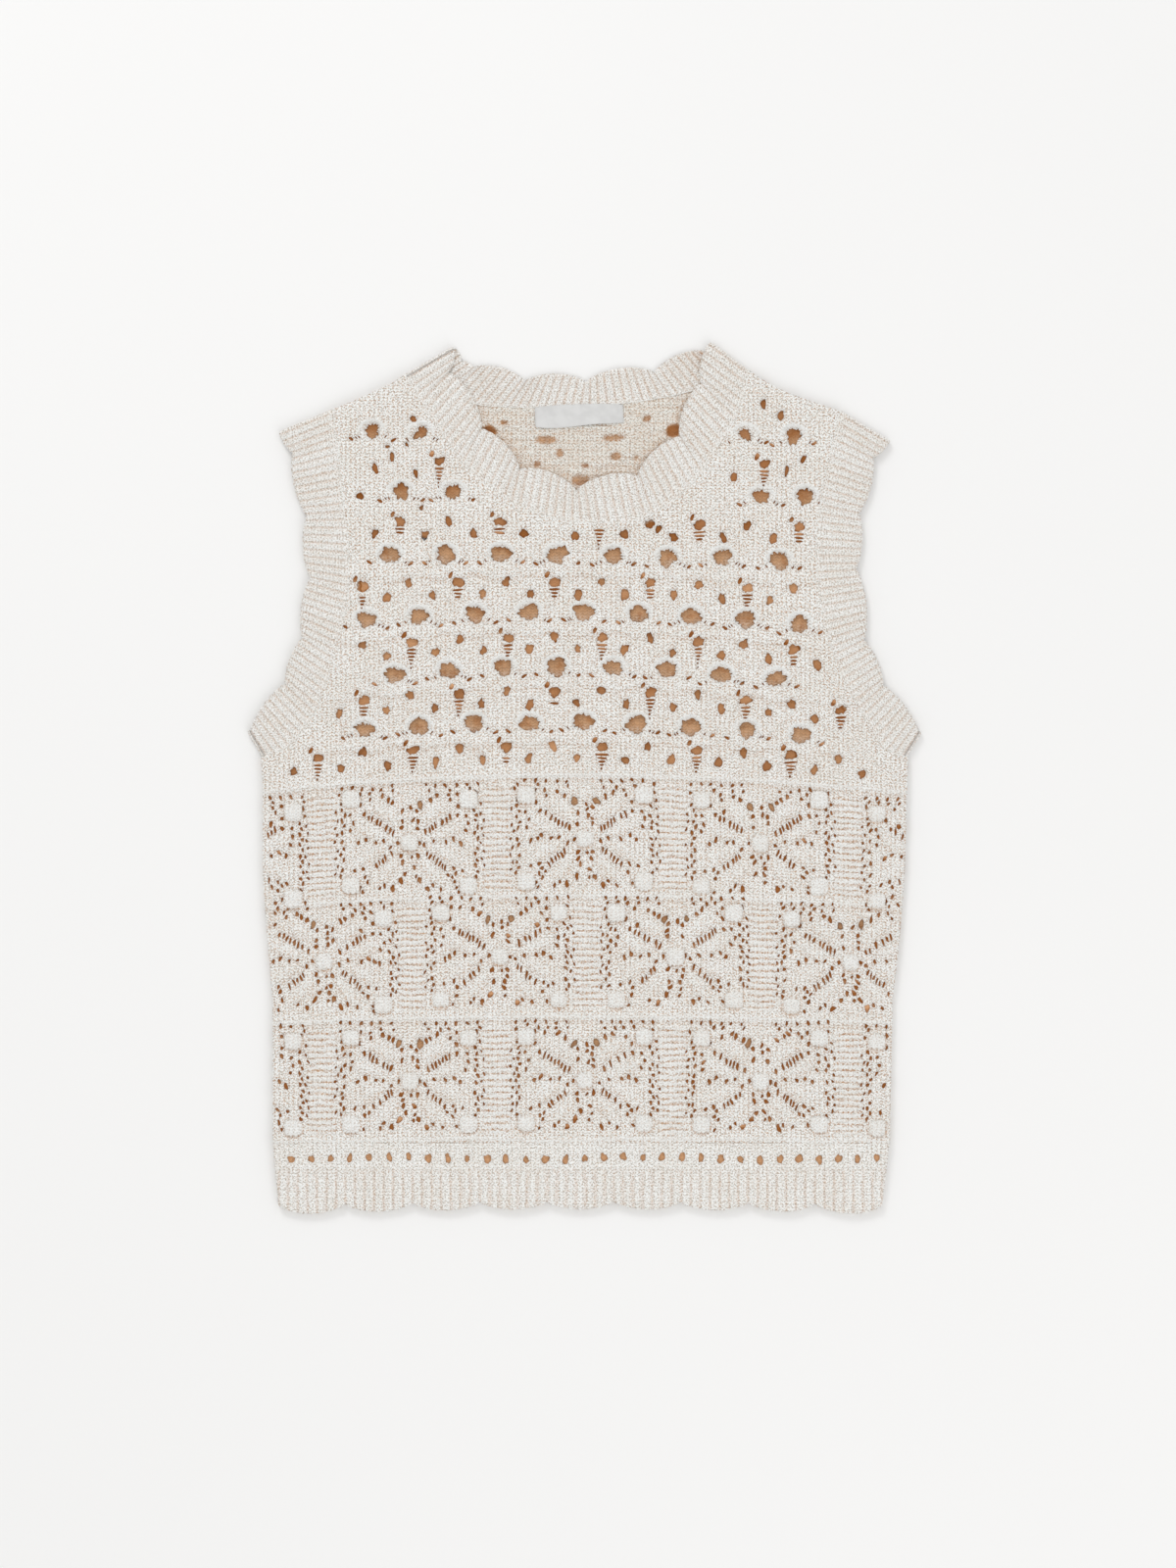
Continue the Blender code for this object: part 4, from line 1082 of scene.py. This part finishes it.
def make_hem(name, node, slot, material, under, ribbed, first_eyelet, eyelet_count, rests_on=()):
    edge, (left, right) = hem_edge(), hem_line(0.7)
    openings = Openings(closed([edge, [edge[-1], right], [right, left], [left, edge[0]]], 1.2))
    for i in range(eyelet_count):
        x = first_eyelet + i * EYELET_PITCH + draw(-0.4, 0.4)
        width, height = EYELET_GAP[0] * draw(0.85, 1.3), EYELET_GAP[1] * draw(0.8, 1.15)
        openings.add("cut", x, EYELET_Y + 0.8 * math.sin(x / 26.0) + draw(-0.5, 0.5), width, height, 13, 0.11,
                     draw(-16, 16), fray=0.3)
    pitch = (HEM_RIGHT - HEM_LEFT) / HEM_RIBS
    spacing, row, points_per_rib, wall_shade = (0.95, 1.4, 6, 0.45) if ribbed else (2.0, 2.6, 2, 0.25)
    xs = np.arange(HEM_LEFT - 4, HEM_RIGHT + 8, pitch / points_per_rib)
    ys = np.arange(HEM_NOTCH_Y - 9, left[1], row)
    grid = np.array([(x, y) for y, x in product(ys, xs)]) + draw(-0.05, 0.05, (len(xs) * len(ys), 2))

    def surface(points, to_hole, to_edge):
        top = under + WALL
        # The back hem's face is painted warm brown as shade below the front hem's eyelets
        if not ribbed:
            return top - 0.5 * bump(to_edge, 1.0), 0.85 * WARM_SHADE * np.clip((to_edge - 2.0) / 2.0, 0, 1)
        x, y = points.T
        rib = wave((x + 0.5 * soft_noise(points, 12.0, 31) - HEM_LEFT) / pitch - 0.5)
        start = np.clip((HEM_RIB_TOP_Y + 2.0 - y) / 5.0, 0, 1)
        top = top + 0.22 * soft_noise(points, 15.0, 32) + 0.12 * soft_noise(points, 4.0, 33)
        top += start * (0.6 * rib**0.8 - 0.15) + 0.5 * bump(y - HEM_RIB_TOP_Y - 2.5, 1.6)
        top += 0.45 * (1 - bump(to_hole, 2.2)) * (1 - start) + 0.4 * bump(y - HEM_SEAM_Y, 1.5)
        top -= 0.9 * bump(seam_free(points, to_edge), 0.9) + 0.7 * bump(to_hole, 0.7)
        # Painted shade in the ribs' valleys and in a line at the ribbing's top, painted highlight at the eyelets'
        # rims
        shade = start * rib_tone(rib) + 0.10 * bump(y - HEM_RIB_TOP_Y - 0.4, 1.0)
        return top, shade - HOLE_LIGHT * bump(to_hole, 0.9)

    hem = knit_sheet(name, openings, grid, spacing, surface, under, wall_shade, material)
    declare_sheet(hem, node, slot, openings, rests_on)


# One layer of a band: its seam and free edge as lines, its number of ribs, and whether its inner side shows
Layer = namedtuple("Layer", "seam edge ribs finely")


def lines_at(layer, shares):
    """Points on a layer's seam and on its free edge, at these shares of their lengths."""
    return [at_distances(line, FOLD_OUTER + np.asarray(shares) * (lengths_along(line)[-1] - 2 * FOLD_OUTER))
            for line in (layer.seam, layer.edge)]


def ring_band(name, node, material, front, back, folds):
    """A ribbed ring folded flat. Its sections run over the front layer, round a fold, and back."""
    across = [*np.linspace(0.0, 0.94, 15), 0.975]
    across_inside = across[::-1] if back.finely else [0.92, 0.5, 0.0]
    sections, uvs, shades = [], [], []

    def face_row(share, rib, seam_rise, seed, along):
        """Height of a ribbed face at a share of its width, and how far its rib has grown there."""
        grow = min(max((share - 0.02) / 0.10, 0.0), 1.0)
        return (0.85 * rib**0.8 - 0.2) * grow + (1 - grow) * seam_rise + 0.12 * math.sin(along * 1.7 + seed), grow

    def section(seam, edge, out, angle, rib, u, seed=0.0, inner_rib=None, fold_shade=0.0):
        """One section of the ring: its outer face, its free edge and its inner face."""
        reach = norm(edge - seam)
        unit = (edge - seam) / reach
        level = np.array([out[0] * math.cos(angle), out[1] * math.cos(angle), math.sin(angle)])
        rows = []                # distance from the seam, height, stitch coordinate and shade
        # The tone is painted shade: in the ribs' valleys, at the seam and the fold, and on the inner face
        for share in across:
            along = share * (reach + TUCKED) - TUCKED
            lift = tone = 0.0
            if math.sin(angle) > -0.2:
                lift, grow = face_row(share, rib, 0.35, seed, along)
                tone = rib_tone(rib) * grow + 0.04 * (1 - grow)
            rows.append((along, FOLD_OUTER + lift - 0.35 * max(0.0, (share - 0.93) / 0.045) ** 2, along, tone))
        middle, half = (FOLD_OUTER + FOLD_INNER) / 2, (FOLD_OUTER - FOLD_INNER) / 2
        for degrees in (50, 15, -20, -60):
            turn = math.radians(degrees)
            along = reach - 0.7 + (1.0 + 0.35 * rib) * math.cos(turn)
            rows.append((along, middle + half * math.sin(turn), reach + degrees * 0.01, 0.06))
        for share in across_inside:
            along = share * (reach + 0.6) - TUCKED
            lift, tone = 0.0, 0.1
            if inner_rib is not None:
                lift, grow = face_row(share, inner_rib, 0.4, seed, along)
                lift -= 0.3 * max(0.0, (share - 0.93) / 0.045) ** 2
                tone = 0.03 + fold_shade + rib_tone(inner_rib) * grow * (1 + fold_shade)
            rows.append((along, FOLD_INNER - lift, along, tone))
        along, height, v, tone = np.array(rows).T
        sections.append(with_height(seam + along[:, None] * unit, FOLD_MIDDLE) + height[:, None] * level)
        uvs.append(with_height(np.full((len(v), 1), u), v))
        shades.append(tone)

    def lay(layer, shares, angle, start, inside_up=False):
        whole = layer.ribs * 2 * WALE
        for share, seam, edge in zip(shares, *lines_at(layer, shares)):
            swell = (1 - wave(share * layer.ribs)) * (0.85 + 0.15 * math.sin(share * layer.ribs * 1.3))
            # The back layer is painted darker near its ends, as the folds' shade
            section(seam, edge, folds[0], angle, 0.5 if inside_up else swell, start + share * whole - WALE / 2,
                    share * layer.ribs * 0.9, swell if inside_up else None,
                    0.42 * bump(1 - share, 0.085) + 0.12 * bump(share, 0.05))
        return start + whole

    def turn_over(share, out, angles, start):
        seams, edges = lines_at(front, [share])
        for i, degrees in enumerate(angles):
            section(seams[0], edges[0], out, math.radians(degrees), 0.3, start + 0.7 * i)
        return start + 0.7 * len(angles)

    angles = (60, 30, 0, -30, -60)
    run = lay(front, np.linspace(0, 1, front.ribs * 10 + 1), math.pi / 2, 0.0)
    run = turn_over(1.0, folds[1], angles, run)
    run = lay(back, np.linspace(1, 0, back.ribs * (10 if back.finely else 4) + 1), -math.pi / 2, run, back.finely)
    turn_over(0.0, folds[0], angles[::-1], run)

    numbers = np.arange(len(sections) * len(sections[0])).reshape(len(sections), -1)
    onwards = np.roll(numbers, -1, axis=0)
    faces = np.stack([numbers, onwards, np.roll(onwards, -1, axis=1), np.roll(numbers, -1, axis=1)], 2)
    band = new_piece(name, np.vstack(sections), faces.reshape(-1, 4), material, np.vstack(uvs), np.hstack(shades))
    lengths = [(lengths_along(layer.seam)[-1] + lengths_along(layer.edge)[-1]) / 2 for layer in (front, back)]
    widths = [float(norm(np.subtract(*lines_at(layer, np.linspace(0, 1, 9))), axis=1).mean())
              for layer in (front, back)]
    declare(band, node, "knit_rib", (sum(lengths), max(widths)), float(np.dot(lengths, widths)),
            ["front_yoke_knit", "back_knit"])


def fold_out(seam_end, edge_end, away):
    """The direction in which a fold bulges, on the side that away points to."""
    along = np.array(edge_end) - np.array(seam_end)
    out = np.array([-along[1], along[0]]) / norm(along)
    return out if out @ np.array(away) > 0 else -out


def make_armband(side, left, material):
    seam = armhole_line(left)
    edge = scalloped(of_side(ARMBAND_NOTCHES, left), ARM_SCALLOP_RISE if left else -ARM_SCALLOP_RISE)
    folds = (fold_out(seam[0], edge[0], (-1.0 if left else 1.0, -1.0)), fold_out(seam[-1], edge[-1], (0.0, 1.0)))
    layers = [Layer(seam, edge, round(lengths_along(seam)[-1] / ARM_RIB), finely) for finely in (True, False)]
    ring_band(side + "_armband_knit", side + "_armband", material, *layers, folds)


def make_neckband(material):
    layers = []
    for places, notches in ((FRONT_NECK_SEAM, FRONT_NECK_NOTCHES), (BACK_NECK_SEAM, BACK_NECK_NOTCHES)):
        seam = smooth_line(places)
        ribs = round(lengths_along(seam)[-1] / NECK_RIB)
        layers.append(Layer(seam, scalloped(notches, NECK_SCALLOP_RISE), ribs, True))
    folds = [fold_out(layers[0].seam[end], layers[0].edge[end], away) for end, away in ((0, (-1, 1)), (-1, (1, 1)))]
    ring_band("neckband_knit", "neckband", material, *layers, folds)


def make_label(material):
    """Blank woven label whose lower edge stands a little off the cloth."""
    columns, rows = 60, 16
    verts, shades, uvs = [], [], []
    c, s = cos_sin(LABEL_TILT)
    for upper, j, i in product((1, 0), range(rows + 1), range(columns + 1)):
        u, v = i / columns - 0.5, j / rows - 0.5
        x = u * LABEL_SIZE[0]
        y = v * LABEL_SIZE[1] * (1.0 - 0.18 * abs(2 * u) ** 3) + 0.9 * math.sin(u * 5.2 + 0.4) * (0.5 - v)
        lift = 0.35 + 1.3 * (0.5 - v) ** 1.5 * (0.65 + 0.35 * math.sin(u * 7.0 + 0.8))
        lift += 0.22 * math.sin(u * 11.0) * (0.6 - v)
        bevel = 0.12 * (min(i, columns - i, j, rows - j) == 0)
        verts.append((LABEL_CENTRE[0] + x * c - y * s, LABEL_CENTRE[1] + x * s + y * c,
                      BACK_TOP + lift + (LABEL_WALL - bevel) * upper))
        uvs.append((x, y))
        # Painted shade at the label's ends and along its upper and lower rim
        shades.append(0.25 * max(0.0, abs(u) - 0.47) / 0.03 + (0.12 if j in (0, rows) else 0.0))
    per = len(verts) // 2
    net = np.arange(per).reshape(rows + 1, columns + 1)
    quads = np.stack([net[:-1, :-1], net[:-1, 1:], net[1:, 1:], net[1:, :-1]], 2).reshape(-1, 4)
    faces = [face for quad in quads for face in (quad, per + quad[::-1])]
    rim = [*net[0], *net[1:, -1], *net[-1, -2::-1], *net[-2:0:-1, 0]]
    faces += [(a, per + a, per + b, b) for a, b in zip(rim, rim[1:] + rim[:1])]
    label = new_piece("woven_label_cloth", verts, faces, material, uvs, shades)
    declare(label, "woven_label", "label_weave", LABEL_SIZE, LABEL_SIZE[0] * LABEL_SIZE[1], ["back_knit"])


# ---------------------------------------------------------------- stage
def make_stage():
    mesh = bpy.data.meshes.new("floor")
    side, low = 3.0, -0.0004
    corners = [(x, y, low) for x, y in ((-side, -side), (side, -side), (side, side), (-side, side))]
    mesh.from_pydata(corners, [], [range(4)])
    mesh.materials.append(floor_material())
    link("floor", mesh)

    scene = bpy.context.scene
    scene.world = scene.world or bpy.data.worlds.new("studio")
    scene.world.use_nodes = True
    background = scene.world.node_tree.nodes["Background"]
    background.inputs["Color"].default_value = (1.0, 0.995, 0.985, 1.0)
    background.inputs["Strength"].default_value = 0.785

    for name, place, size, watts in (("key", (-0.8, 1.9, 1.7), 0.9, 16.0), ("fill", (0.9, -1.5, 1.5), 1.6, 9.0)):
        light = bpy.data.lights.new(name, "AREA")
        light.shape, light.size, light.energy = "SQUARE", size, watts
        lamp = link(name, light)
        lamp.location = place
        lamp.rotation_euler = (-Vector(place)).to_track_quat("-Z", "Y").to_euler()

    camera = bpy.data.cameras.new("camera")
    distance, view_height, sensor = 3.2, 0.96, 36.0
    camera.lens = sensor * (distance - FRONT_TOP * MM) / view_height
    camera.clip_start, camera.clip_end = 0.1, 10.0
    eye = link("camera", camera)
    eye.location = (0.0024, -0.0033, distance)
    bpy.context.scene.camera = eye
    scene.view_settings.view_transform = "Standard"


def main():
    knit = knit_material("cream_knit", CREAM, pinhole_shade=0.75)
    rib = knit_material("cream_rib", CREAM, pinhole_shade=0.4, relief_mm=0.5)
    # The back's knit is a darker copy of the cream, painted shade for the back's inner face
    back = knit_material("cream_knit_back_shaded", tint(CREAM, 0.96, 0.955, 0.93), pinhole_shade=0.6)
    yoke_holes, square_holes = yoke_openings(), square_openings()
    make_back(yoke_holes, back)
    make_front(yoke_holes, square_holes, knit)
    make_hem("back_hem_knit", "back_hem_band", "knit_back", back, 0.0, False,
             EYELET_FIRST_X + EYELET_PITCH / 2, EYELETS - 1)
    make_hem("front_hem_knit", "front_hem_band", "knit_rib", rib, FRONT_UNDER, True,
             EYELET_FIRST_X, EYELETS, ["back_hem_knit"])
    make_armband("left", True, rib)
    make_armband("right", False, rib)
    make_neckband(rib)
    make_label(label_material())
    make_stage()


main()
